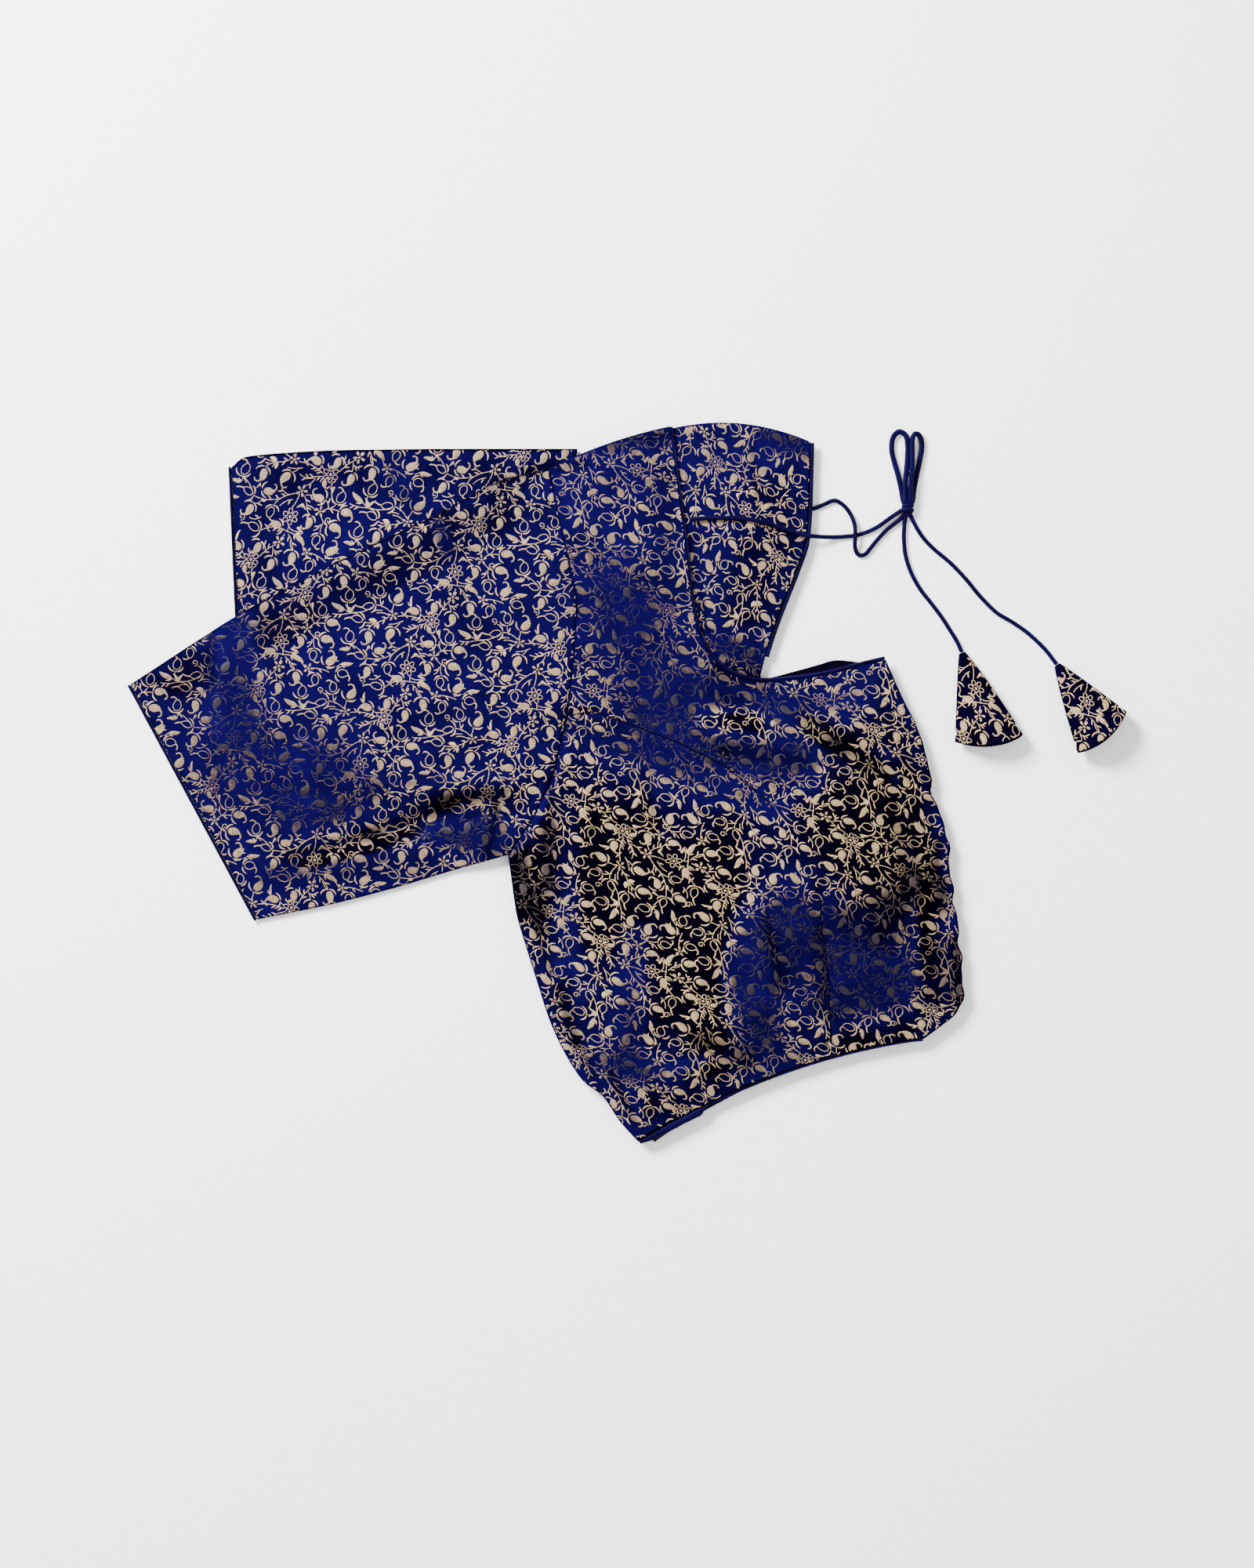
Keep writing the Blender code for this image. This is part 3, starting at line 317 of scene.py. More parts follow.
STEMS = table(Stem, (
    (0.6, 12.2, -0.6, 4.6, 0.06), (-0.4, 12.2, -8, 7.3, -0.05), (-8, 7.3, -10.5, 2.4, -0.08),
    (-8, 7.3, -22.6, 4.6, 0.1), (3, 12, 6.3, 7.9, 0.08), (6.3, 7.9, 10, 3.4, -0.1),
    (6.3, 7.9, 11.6, 6.6, 0.1), (4, 12.4, 13.6, 10.9, 0.16), (-4.2, 10.2, -9.6, 12, 0.1),
    (-1.8, 8.4, -7.2, 3.6, -0.1), (15.4, 5, 20.6, 1, -0.08), (18, 2.4, 18.4, -3.8, -0.1),
    (16.8, 1, 14.2, -3, 0.15), (16, 8.2, 17.8, 9.4, 0), (17.8, 9.4, 24, 9.7, 0.05),
    (17.8, 9.4, 14.6, 13.2, -0.15), (17.8, 9.4, 21.2, 13, -0.1), (1, -4.2, 1.2, -7.4, 0),
    (1.2, -7.4, -13.4, -11.4, -0.14), (1.2, -7.4, 13.2, -14.2, 0.16), (4.4, -11.2, 7.4, -15.6, -0.1),
    (1, -5, 8, -5.6, -0.12), (-14.8, -4.4, -21, -6.4, 0.15), (0.4, -9, -1, -12, 0),
    (8.6, 25.2, -5.8, 27.2, -0.08), (-2.8, 24.8, -10.6, 22.8, 0.06), (-4.2, 24.4, -7.4, 21, 0.08),
    (9, 23.6, 1.2, 20.2, -0.06), (4.6, 21.6, -3, 21.4, 0.12), (5.6, 22, 2.4, 17, 0.12),
    (8.8, 27.2, 6.4, 29, 0.1), (16.6, 23.6, 16.2, 18.2, -0.25), (16.6, 28.4, 23, 36.6, 0.06),
    (21.8, 34.8, 23, 30.2, 0.08), (22.2, 33.4, 26.2, 32.6, 0.1), (18.8, 31, 14.6, 35.4, -0.2),
    (-10.6, 26.8, -16.6, 23.8, 0.05), (-16.6, 23.8, -22, 19.6, -0.08), (-16.6, 23.8, -23.6, 23.6, 0.06),
    (-9.6, 29.4, -17.8, 33, -0.1), (-14, 31.8, -15.2, 36.8, 0.08), (-9, 30, -8, 34, -0.1),
    (-10.8, 27.8, -17.2, 28.6, -0.1), (27.4, 43.2, 32.6, 36.2, 0.08), (42.2, 37.6, 51.4, 35.6, 0.06),
    (41.4, 35.6, 43.4, 34.8, 0), (37.4, 15.7, 27.8, 15, 0.06), (37.4, 15.7, 44.4, 12, 0.16),
    (38.6, 16, 50.4, 20, -0.1), (36.6, 16, 35.8, 21.6, 0.1), (36.6, 16, 34, 17.6, 0),
    (49.4, 16.6, 54.6, 17.4, 0.1), (36, -0.4, 45.6, -7.6, 0.1), (37.6, -1.6, 37, -3.6, 0),
    (-33, 12, -28.8, 9.4, 0.1), (-36, 1.2, -38.6, -0.6, 0), (-21.7, 1, -17.6, 3.6, -0.2),
    (-17.8, 10, -13.4, 7.4, 0.1), (25.4, -14.6, 31.2, -10, 0.2),
))
STROKE = 0.185  # half the width of a woven line
STEM_STEP = 1.15
LEAFLET, LEAFLET_HALF = 2.7, 0.23
LEAFLET_ROOM = 1.15  # bare cloth that a leaflet needs about it
GOLD_LIFT, GOLD_CROWN = 0.05, 0.16

# How each panel lies on the cloth: where a rosette falls, and where half of step_a and all of step_b lead
Cut = namedtuple("Cut", "x y a_x a_y b_x b_y")
NEAR_SLEEVE_CUT = Cut(-74.2, 63.0, -12.9, -26.2, 69.2, -15.0)
FRONT_CUT = Cut(150.7, 45.7, 28.0, -16.3, 12.0, 60.2)
BACK_CUT = Cut(110.0, 150.0, 16.8, -25.8, 39.8, 47.0)
FAR_SLEEVE_CUT = Cut(-139.0, 146.0, -21.9, -23.2, 61.8, -34.5)
UNDER_RIGHT_CUT = Cut(-80.0, 30.0, 12.9, -26.2, -69.2, -15.0)
UNDER_LEFT_CUT = Cut(-60.0, 120.0, 21.9, -23.2, -61.8, -34.5)
UNDER_BODY_CUT = Cut(70.0, -20.0, -28.0, -16.3, -12.0, 60.2)
LEFT_TASSEL_CUT = Cut(236.0, 52.0, -7.0, -27.5, 68.0, -17.0)
RIGHT_TASSEL_CUT = Cut(296.0, 45.0, -13.0, -25.0, 66.0, -24.0)
EDGE_BARE = 0.15  # plain cloth left beside an edge
MOST_STEPS_A, MOST_STEPS_B = 12, 8  # repeats to each side of a cut's rosette

# Steps
BODY_STEPS, BODY_COLUMNS = 9, 128
BACK_STEPS, BACK_COLUMNS = 12, 44
INNER_STEPS, INNER_COLUMNS = 5, 72
SLEEVE_STEPS, SLEEVE_COLUMNS = 20, 84
FAR_STEPS, FAR_COLUMNS = 18, 60
TUBE_SIDES = 12
ROUTE_STEPS = 12
CORD_STEP, PIPING_STEP, SEAM_STEP = 0.8, 1.4, 1.5


def smooth(t):
    t = np.clip(t, 0, 1)
    return t * t * (3 - 2 * t)


def way_along(line):
    """The way along a line at each of its points."""
    return np.concatenate([[0], np.cumsum(np.linalg.norm(np.diff(np.asarray(line, float), axis=0), axis=1))])


def line_length(line):
    return float(way_along(line)[-1])


def unit(vectors):
    return vectors / np.maximum(np.linalg.norm(vectors, axis=-1, keepdims=True), 1e-9)


def left_of(run):
    """The direction to the left of each run in plan."""
    return np.stack([-run[:, 1], run[:, 0]], 1)


def rotation(angle):
    return np.array([(math.cos(angle), math.sin(angle)), (-math.sin(angle), math.cos(angle))])


def curve_at(t, start, leaving, end, arriving):
    """The point at a share of a curve between two points, with its direction at each."""
    return (
        (2 * t**3 - 3 * t**2 + 1) * start + (t**3 - 2 * t**2 + t) * leaving
        + (3 * t**2 - 2 * t**3) * end + (t**3 - t**2) * arriving
    )


def smooth_rows(rows, steps, corners=()):
    """Rows between the given ones, on a curve through each column that overshoots nowhere."""
    keys = np.array(rows, float)
    secant = np.diff(keys, axis=0)
    product = secant[1:] * secant[:-1]
    mean = np.where(product > 0, 2 * product / np.where(product > 0, secant[1:] + secant[:-1], 1), 0)
    after = np.vstack([secant[:1], mean, secant[-1:]])
    before = after.copy()
    for key in corners:
        before[key] = secant[key - 1]
        after[key] = secant[key]
    out = []
    for k in range(len(secant)):
        for step in range(steps):
            out.append(curve_at(step / steps, keys[k], after[k], keys[k + 1], before[k + 1]))
    return np.array(out + [keys[-1]])


def resample(line, count):
    """Points spaced evenly along a line."""
    line = np.asarray(line, float)
    along = way_along(line)
    at = np.linspace(0, along[-1], count)
    return np.stack([np.interp(at, along, line[:, k]) for k in range(line.shape[1])], 1)


def distance_to(points, line):
    """Distance of each point from a line in plan."""
    points = np.asarray(points, float)
    flat = points.reshape(-1, points.shape[-1])[:, :2]
    nearest = np.full(len(flat), 1e9)
    for start, end in zip(line[:-1], line[1:]):
        run = end[:2] - start[:2]
        t = np.clip(((flat - start[:2]) @ run) / max(float(run @ run), 1e-9), 0, 1)
        away = flat - start[:2] - t[:, None] * run
        nearest = np.minimum(nearest, (away**2).sum(1))
    return np.sqrt(nearest).reshape(points.shape[:-1])


def inside(points, outline):
    """Whether each point lies inside a closed outline in plan."""
    x, y = points[..., 0], points[..., 1]
    crossings = np.zeros(x.shape, int)
    for start, end in zip(outline, np.roll(outline, -1, axis=0)):
        if start[1] == end[1]:
            continue
        at = start[0] + (y - start[1]) / (end[1] - start[1]) * (end[0] - start[0])
        crossings += ((start[1] > y) != (end[1] > y)) & (x < at)
    return crossings % 2 == 1


def relief(points, folds):
    """Height that a table of folds adds at each point."""
    total = np.zeros(points.shape[:-1])
    for fold in folds:
        line = np.array([(fold.x0, fold.y0), (fold.x1, fold.y1)], float)
        total += fold.height * np.exp(-((distance_to(points, line) / fold.width) ** 2))
    return total


def edged(columns):
    """Shares across a panel, closer together towards its two edges."""
    t = np.linspace(0, 1, columns)
    return 0.55 * t + 0.45 * (0.5 - 0.5 * np.cos(math.pi * t))


def panel_grid(rows, columns):
    u = edged(columns)[None, :, None]
    left, right = rows[:, None, 0:2], rows[:, None, 2:4]
    grid = left * (1 - u) + right * u
    grid[..., 1] += rows[:, 4:5] * np.sin(np.pi * u[..., 0]) ** 0.8
    return grid


def boundary(grid):
    return np.vstack([grid[0, :-1], grid[:-1, -1], grid[-1, :0:-1], grid[:0:-1, 0]])


def section_grid(sections, steps, columns, end_line):
    rows = smooth_rows(sections, steps)
    u = edged(columns)[None, :, None]
    grid = rows[:, None, 0:2] * (1 - u) + rows[:, None, 2:4] * u
    line = np.asarray(end_line, float)
    along = way_along(line)
    at = edged(columns) * along[-1]
    curve = np.stack([np.interp(at, along, line[:, 0]), np.interp(at, along, line[:, 1])], 1)
    share = np.linspace(0, 1, len(rows))[:, None, None]
    return grid + share**4 * (curve - grid[-1])[None]


def smooth_route(route, spacing):
    """A smooth curve through a cord's points, with points evenly spaced along it."""
    keys = np.array(route, float)
    tangent = np.gradient(keys, axis=0)
    fine = []
    for k in range(len(keys) - 1):
        for step in range(ROUTE_STEPS):
            fine.append(curve_at(step / ROUTE_STEPS, keys[k], tangent[k], keys[k + 1], tangent[k + 1]))
    fine.append(keys[-1])
    return resample(fine, int(round(line_length(fine) / spacing)) + 1)


class Value:
    """A socket whose arithmetic adds Math nodes to its material."""

    def __init__(self, finish, socket):
        self.finish = finish
        self.socket = socket

    def maths(self, operation, *values):
        return self.finish.node("ShaderNodeMath", {"operation": operation}, dict(enumerate(values)))

    def __add__(self, other):
        return self.maths("ADD", self, other)

    __radd__ = __add__

    def __sub__(self, other):
        return self.maths("SUBTRACT", self, other)

    def __rsub__(self, other):
        return self.maths("SUBTRACT", other, self)

    def __mul__(self, other):
        return self.maths("MULTIPLY", self, other)

    def power(self, exponent):
        return self.maths("POWER", self, exponent)

    def sine(self):
        return self.maths("SINE", self)

    def clamped(self):
        return self.finish.node("ShaderNodeClamp", {}, {"Value": self})


class Finish:
    """One procedural material around a Principled surface."""

    def __init__(self, name, **constants):
        self.material = bpy.data.materials.new(name)
        self.material.use_nodes = True
        self.tree = self.material.node_tree
        self.surface = self.tree.nodes["Principled BSDF"]
        for socket, value in constants.items():
            self.surface.inputs[socket.replace("_", " ")].default_value = value

    def connect(self, socket, value):
        if isinstance(value, Value):
            self.tree.links.new(value.socket, socket)
        elif isinstance(value, tuple) and len(value) == 3 and socket.type == "RGBA":
            socket.default_value = (*value, 1)
        else:
            socket.default_value = value

    def node(self, kind, settings, values, output=0):
        made = self.tree.nodes.new(kind)
        for name, value in settings.items():
            setattr(made, name, value)
        for name, value in values.items():
            self.connect(made.inputs[name], value)
        return Value(self, made.outputs[output])

    def attribute(self, name):
        return self.node("ShaderNodeAttribute", {"attribute_name": name}, {}, "Fac")

    def place(self):
        return self.node("ShaderNodeAttribute", {"attribute_name": "cloth"}, {}, "Vector")

    def noise(self, scale, detail, where):
        return self.node("ShaderNodeTexNoise", {}, {"Scale": scale, "Detail": detail, "Vector": where})

    def object_place(self):
        return self.node("ShaderNodeTexCoord", {}, {}, "Object")

    def mix(self, share, first, second):
        made = self.tree.nodes.new("ShaderNodeMix")
        made.data_type = "RGBA"
        self.connect(made.inputs["Factor"], share)
        self.connect(made.inputs[6], first)
        self.connect(made.inputs[7], second)
        return Value(self, made.outputs[2])

    def axis(self, vector, name):
        return self.node("ShaderNodeSeparateXYZ", {}, {"Vector": vector}, name)

    def bump(self, height, distance, strength):
        values = {"Height": height, "Distance": distance, "Strength": strength}
        return self.node("ShaderNodeBump", {}, values, "Normal")

    def ramp(self, level, stops):
        """A colour between the stops, which are pairs of a level and a colour."""
        colour = self.node("ShaderNodeValToRGB", {}, {"Fac": level})
        ramp = colour.socket.node.color_ramp
        for element, (position, stop) in zip(ramp.elements, (stops[0], stops[-1])):
            element.position = position
            element.color = (*stop, 1)
        for position, stop in stops[1:-1]:
            ramp.elements.new(position).color = (*stop, 1)
        return colour

    def set(self, **values):
        for name, value in values.items():
            self.connect(self.surface.inputs[name.replace("_", " ")], value)
        return self.material


# Colours, linear. The blues from dark to bright and the golds from dim to bright are the tones that painted
# sheen and random variation choose between
# painted shade: the near black that creases darken the blue towards
PAINTED_SHADE_BLACK = (0.0004, 0.0002, 0.0012)
BLUE_DARK = (0.0006, 0.0002, 0.0024)
BLUE_SHADE = (0.0012, 0.0001, 0.0120)
BLUE = (0.0026, 0.0001, 0.0290)
BLUE_BRIGHT = (0.0046, 0.0001, 0.0580)
CORD_BLUE = (0.0030, 0.0001, 0.0340)
LINING_DARK = (0.0005, 0.0003, 0.0016)
LINING_BLUE = (0.0012, 0.0003, 0.0060)
FLOOR_SHADE = (0.93, 0.93, 0.93)
FLOOR_LIGHT = (0.95, 0.95, 0.95)
GOLD_BRIGHT = (0.62, 0.43, 0.21)
GOLD = (0.220, 0.158, 0.090)
GOLD_BROWN = (0.072, 0.046, 0.035)
GOLD_DIM = (0.006, 0.004, 0.012)
# dark bars of the filled motifs, and the colour that painted shade darkens the gold towards
GOLD_BAR_AND_PAINTED_SHADE = (0.016, 0.011, 0.014)
THREADS = 2 * math.pi / 0.00042  # satin threads, 0.42 mm apart
HATCH = 2 * math.pi / 1.05  # bars on the filled motifs, 1.05 mm apart


def satin_ground():
    """Royal blue satin: threads along the warp; its blue is painted darker where the painted sheen is below
    0, clouded at random, and painted towards black by the painted shade.
    """
    cloth = Finish("blue_satin_ground", Specular_IOR_Level=0.0)
    nap = cloth.attribute("nap")
    place = cloth.place()
    cloudy = cloth.noise(45.0, 4.0, place)
    # painted sheen: below 0 the blue is painted darker
    turned = nap.maths("MINIMUM", nap, 0.0) * 0.9
    level = (turned + 0.5 + (cloudy - 0.5) * 0.45).clamped()
    colour = cloth.ramp(level, ((0.1, BLUE_DARK), (0.34, BLUE_SHADE), (0.56, BLUE), (0.95, BLUE_BRIGHT)))
    warp = (cloth.axis(place, "X") * THREADS).sine()
    weft = (cloth.axis(place, "Y") * (THREADS * 0.8)).sine()
    slub = cloth.noise(900.0, 2.0, place)
    height = warp * 0.35 + weft * 0.25 + slub * 0.6
    return cloth.set(
        # painted shade darkens the blue towards near black
        Base_Color=cloth.mix(cloth.attribute("painted_shade"), colour, PAINTED_SHADE_BLACK),
        Roughness=0.42 + (cloudy - 0.5) * 0.2,
        Normal=cloth.bump(height, 0.00006, 0.5),
    )


def gold_thread():
    """Pale gold weft thread; the filled motifs have fine dark bars. The gold is painted dim where the painted
    sheen is above 0 and a little brighter below it, varies at random, and is painted dark by the painted
    shade.
    """
    thread = Finish("gold_thread", Specular_IOR_Level=0.12)
    nap = thread.attribute("nap")
    fill = thread.attribute("fill")
    place = thread.place()
    worn = thread.noise(420.0, 3.0, place)
    # painted sheen: above 0 the gold is painted dim, below 0 a little brighter
    turned = nap.maths("MAXIMUM", nap, 0.0) * 0.78 + nap.maths("MINIMUM", nap, 0.0) * 0.1
    level = (0.58 - turned + (worn - 0.5) * 0.5).clamped()
    colour = thread.ramp(level, ((0.02, GOLD_DIM), (0.24, GOLD_BROWN), (0.5, GOLD), (0.9, GOLD_BRIGHT)))
    filled = fill.maths("GREATER_THAN", fill, 0.5)
    bars = (fill * HATCH).sine() * 0.5 + 0.5
    bar = (bars.power(1.6) * filled * 0.8).clamped()
    # dark bars of the motifs, then the painted shade darkening the gold
    shaded = thread.mix(thread.attribute("painted_shade"), thread.mix(bar, colour, GOLD_BAR_AND_PAINTED_SHADE), GOLD_BAR_AND_PAINTED_SHADE)
    twist = (thread.axis(place, "X") * (THREADS * 0.9)).sine()
    return thread.set(
        Base_Color=shaded,
        Metallic=0.05 + worn * 0.08,
        Roughness=0.46 + (worn - 0.5) * 0.25,
        Normal=thread.bump(twist * 0.5 + bars * 0.5, 0.00008, 0.6),
    )


def plain_satin():
    """Plain royal blue satin of the piping and cords, slightly wrinkled across like a turned bias strip."""
    cloth = Finish("plain_blue_satin", Specular_IOR_Level=0.02)
    place = cloth.place()
    patches = cloth.noise(60.0, 3.0, place)
    wrinkle = cloth.noise(420.0, 2.0, place)
    colour = cloth.mix((patches * 1.6 - 0.3).clamped(), BLUE_DARK, CORD_BLUE)
    bias = ((cloth.axis(place, "X") + cloth.axis(place, "Y")) * THREADS).sine()
    return cloth.set(
        Base_Color=colour,
        Roughness=0.42 + (patches - 0.5) * 0.2,
        Normal=cloth.bump(wrinkle * 0.8 + bias * 0.3, 0.00012, 0.6),
    )


def dark_lining():
    """Dark blue cotton lining, plain woven."""
    cloth = Finish("dark_blue_lining", Specular_IOR_Level=0.01)
    place = cloth.place()
    worn = cloth.noise(120.0, 3.0, place)
    colour = cloth.mix(worn, LINING_DARK, LINING_BLUE)
    weave = (cloth.axis(place, "X") * THREADS).sine() * (cloth.axis(place, "Y") * THREADS).sine()
    return cloth.set(
        Base_Color=colour,
        Roughness=0.75 + (worn - 0.5) * 0.2,
        Normal=cloth.bump(weave, 0.00008, 0.6),
    )


def pale_floor():
    floor = Finish("pale_floor", Specular_IOR_Level=0.1)
    grain = floor.noise(3.0, 2.0, floor.object_place())
    return floor.set(Base_Color=floor.mix(grain, FLOOR_SHADE, FLOOR_LIGHT), Roughness=0.9)


def painted_slope_sheen(normals):
    """Painted sheen: how far the satin's slope turns it to the light, as a shift of its colour."""
    normals = np.asarray(normals, float)
    return SLOPE_SHEEN_PAINT * (normals[:, 0] * LIT_SIDE[0] + normals[:, 1] * LIT_SIDE[1]) * np.abs(normals[:, 2])


def painted_crease_shade(points):
    """Painted shade: how much a seam, a tuck or a tight crease darkens the cloth's colour."""
    return np.clip(relief(points, PAINTED_SHADE_ROWS), 0, 0.96)


def add_mesh(name, points, faces, finish, nap=None, fill=None, cloth=None, sheen_from_slope=False):
    """One smooth mesh from points in millimetres; its painted sheen, painted shade, fill and cloth are kept
    on its points.
    """
    points = np.asarray(points, float)
    mesh = bpy.data.meshes.new(name)
    mesh.from_pydata((points * MM).tolist(), [], faces if isinstance(faces, list) else faces.tolist())
    mesh.shade_smooth()
    mesh.materials.append(finish)
    place = mesh.attributes.new("cloth", "FLOAT_VECTOR", "POINT")
    flat = points if cloth is None else np.column_stack([cloth, np.zeros(len(cloth))])
    place.data.foreach_set("vector", (flat * MM).astype(np.float32).ravel())
    # painted sheen: the slope of each point towards the lit side shifts its colour
    if sheen_from_slope:
        nap = nap + painted_slope_sheen([vertex.normal for vertex in mesh.vertices])
    # painted shade of seams, tucks and creases
    painted_shade = None if nap is None else painted_crease_shade(points)
    for label, values in (("nap", nap), ("fill", fill), ("painted_shade", painted_shade)):
        if values is not None:
            layer = mesh.attributes.new(label, "FLOAT", "POINT")
            layer.data.foreach_set("value", np.asarray(values, np.float32))
    made = bpy.data.objects.new(name, mesh)
    bpy.context.scene.collection.objects.link(made)
    return made


def grid_quads(rows, columns, start=0, flip=False):
    index = np.arange(rows * columns).reshape(rows, columns) + start
    quads = np.stack([index[:-1, :-1], index[:-1, 1:], index[1:, 1:], index[1:, :-1]], -1).reshape(-1, 4)
    return quads[:, ::-1] if flip else quads


def rim_indices(rows, columns):
    """Indices around a grid's edge, in one direction."""
    top = list(range(columns - 1))
    right = [r * columns + columns - 1 for r in range(rows - 1)]
    bottom = [(rows - 1) * columns + c for c in range(columns - 1, 0, -1)]
    left = [r * columns for r in range(rows - 1, 0, -1)]
    return np.array(top + right + bottom + left)


def band(above, below):
    """Quads between two closed rings of points."""
    return np.stack([above, np.roll(above, -1), np.roll(below, -1), below], 1)


def outward_normals(ring):
    """Unit normals in plan of a closed ring, pointing out of it."""
    normal = -left_of(unit(np.roll(ring, -1, axis=0) - np.roll(ring, 1, axis=0)))
    area = (ring[:, 0] * np.roll(ring[:, 1], -1) - np.roll(ring[:, 0], -1) * ring[:, 1]).sum()
    return normal if area > 0 else -normal


def chart_to_panel(cut):
    """The matrix that takes a row of chart millimetres to the panel's plan."""
    chart = np.array([np.array(REPEAT_A) / 2, REPEAT_B])
    plan = np.array([(cut.a_x, cut.a_y), (cut.b_x, cut.b_y)])
    return np.linalg.solve(chart, plan)


def turned_back(points, cut):
    """Places on the cloth before it was cut, in the chart's millimetres."""
    return (points[..., :2] - (cut.x, cut.y)) @ np.linalg.inv(chart_to_panel(cut))


def add_brocade(name, points, faces, finish, cut):
    # the panel's painted sheen: from the table and from its slope to the lit side
    return add_mesh(
        name, points, faces, finish, relief(points, PAINTED_SHEEN_ROWS), cloth=turned_back(points, cut), sheen_from_slope=True
    )


def add_panel(name, grid, top, thickness, finish, cut):
    """A wall of cloth with a rounded edge all round."""
    rows, columns = grid.shape[:2]
    count = rows * columns
    upper = np.dstack([grid, top]).reshape(-1, 3)
    lower = np.dstack([grid, top - thickness]).reshape(-1, 3)
    rim = rim_indices(rows, columns)
    ring = upper[rim]
    middle = ring.copy()
    middle[:, :2] += outward_normals(ring[:, :2]) * EDGE_ROUND
    middle[:, 2] -= thickness / 2
    points = np.vstack([upper, lower, middle])
    edge = np.arange(len(rim)) + 2 * count
    faces = np.vstack([
        grid_quads(rows, columns, 0, True), grid_quads(rows, columns, count), band(rim, edge),
        band(edge, rim + count),
    ])
    return add_brocade(name, points, faces, finish, cut)


def add_pile(name, grid, top, layers, finish):
    """The hidden layers as one solid, with a soft groove between each two along the edge."""
    rows, columns = grid.shape[:2]
    points = [np.dstack([grid, top]).reshape(-1, 3)]
    faces = [grid_quads(rows, columns, 0, True)]
    rim = rim_indices(rows, columns)
    ring = points[0][rim]
    inward = -outward_normals(ring[:, :2])
    levels = []
    for layer in range(layers, 0, -1):
        levels += [((layer - share) / layers, inset) for share, inset in GROOVES]
    levels.append((0.0, 0.5))
    above = rim
    start = rows * columns
    for share, inset in levels:
        level = ring.copy()
        level[:, :2] += inward * inset
        level[:, 2] = UNDER_LIFT + (level[:, 2] - UNDER_LIFT) * share
        points.append(level)
        below = np.arange(len(rim)) + start
        faces.append(band(above, below))
        above = below
        start += len(rim)
    floor = points[0].copy()
    floor[:, 2] = UNDER_LIFT
    floor_start = start
    points.append(floor)
    faces.append(grid_quads(rows, columns, floor_start))
    faces.append(band(above, rim + floor_start))
    points = np.vstack(points)
    # painted sheen from the table, kept on the hidden layers too
    return add_mesh(name, points, np.vstack(faces), finish, relief(points, PAINTED_SHEEN_ROWS))


def sleeve_ring(line, under, over, inset):
    """Once round a sleeve's section, with a rounded fold and a rounded seam."""
    across = unit(line[-1] - line[0])
    shift = np.zeros(len(line))
    shift[0], shift[-1] = SLEEVE_TURN + inset, -SLEEVE_TURN - inset
    moved = line + across * shift[:, None]
    top = np.column_stack([moved, over])
    bottom = np.column_stack([moved, under])[::-1]
    seam = np.append(line[-1] - across * inset, (over[-1] + under[-1]) / 2)
    fold = np.append(line[0] + across * inset, (over[0] + under[0]) / 2)
    return np.vstack([fold, top, seam, bottom])


def add_sleeve(name, grid, low, high, wall, finish, cut):
    """A flat sleeve, open at the cuff and at the armhole."""
    walls = np.clip((high - low - SLEEVE_HOLLOW) / 2, wall, MOST_WALL)
    sections = list(zip(grid, low, high, walls))
    outer = [sleeve_ring(line, under, over, 0.0) for line, under, over, _ in sections]
    inner = [sleeve_ring(line, under + thick, over - thick, wall) for line, under, over, thick in sections]
    rings, size = len(outer), len(outer[0])
    points = np.vstack(outer + inner)
    index = np.arange(rings * size).reshape(rings, size)
    around = np.roll(index, -1, axis=1)
    skin = np.stack([index[:-1], index[1:], around[1:], around[:-1]], -1).reshape(-1, 4)
    shift = rings * size
    ends = [np.stack([index[k], around[k], around[k] + shift, index[k] + shift], 1) for k in (0, -1)]
    faces = np.vstack([skin, skin[:, ::-1] + shift, ends[0], ends[1][:, ::-1]])
    return add_brocade(name, points, faces, finish, cut)


def capped_skin(rings, sides):
    """Faces of a row of rings, closed at both ends."""
    index = np.arange(rings * sides).reshape(rings, sides)
    around = np.roll(index, -1, axis=1)
    skin = np.stack([index[:-1], around[:-1], around[1:], index[1:]], -1).reshape(-1, 4)
    return skin.tolist() + [index[0].tolist()[::-1], index[-1].tolist()]


def tube(line, radius, flat=1.0, wobble=0.05, level=False):
    """Points and quads of a closed tube along a line, with the uneven girth of a stuffed strip of cloth."""
    line = np.asarray(line, float)
    run = unit(np.gradient(line, axis=0))
    side = unit(np.cross(run, (0, 0, 1.0)))
    up = np.tile((0, 0, 1.0), (len(line), 1)) if level else np.cross(side, run)
    turn = np.linspace(0, 2 * math.pi, TUBE_SIDES, endpoint=False)
    along = np.arange(len(line))
    girth = radius * (1 + wobble * np.sin(along * 0.9) * np.sin(along * 0.37 + 1.3))
    points = (
        line[:, None]
        + side[:, None] * np.cos(turn)[None, :, None] * girth[:, None, None]
        + up[:, None] * np.sin(turn)[None, :, None] * girth[:, None, None] * flat
    ).reshape(-1, 3)
    return points, capped_skin(len(line), TUBE_SIDES)


def add_piping(
    name, edge, outward, finish, half_width=PIPING_RADIUS, half_height=PIPING_RADIUS, girths=EVEN_GIRTH
):
    """A covered cord along a panel's edge; girths are its share of full girth at shares of its length."""
    line = resample(edge, int(line_length(edge) / PIPING_STEP))
    normal = left_of(unit(np.gradient(line[:, :2], axis=0)))
    normal *= math.copysign(1, float((normal[len(line) // 2] * np.array(outward)).sum()))
    girth = np.interp(np.linspace(0, 1, len(line)), *np.transpose(girths))
    line[:, :2] += normal * (half_width * girth + PIPING_GAP)[:, None]
    points, faces = tube(line, half_width * girth, flat=half_height / half_width, level=True)
    points[:, 2] = np.maximum(points[:, 2], 0.02)
    made = add_mesh(name, points, faces, finish)
    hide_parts(name)
    return made


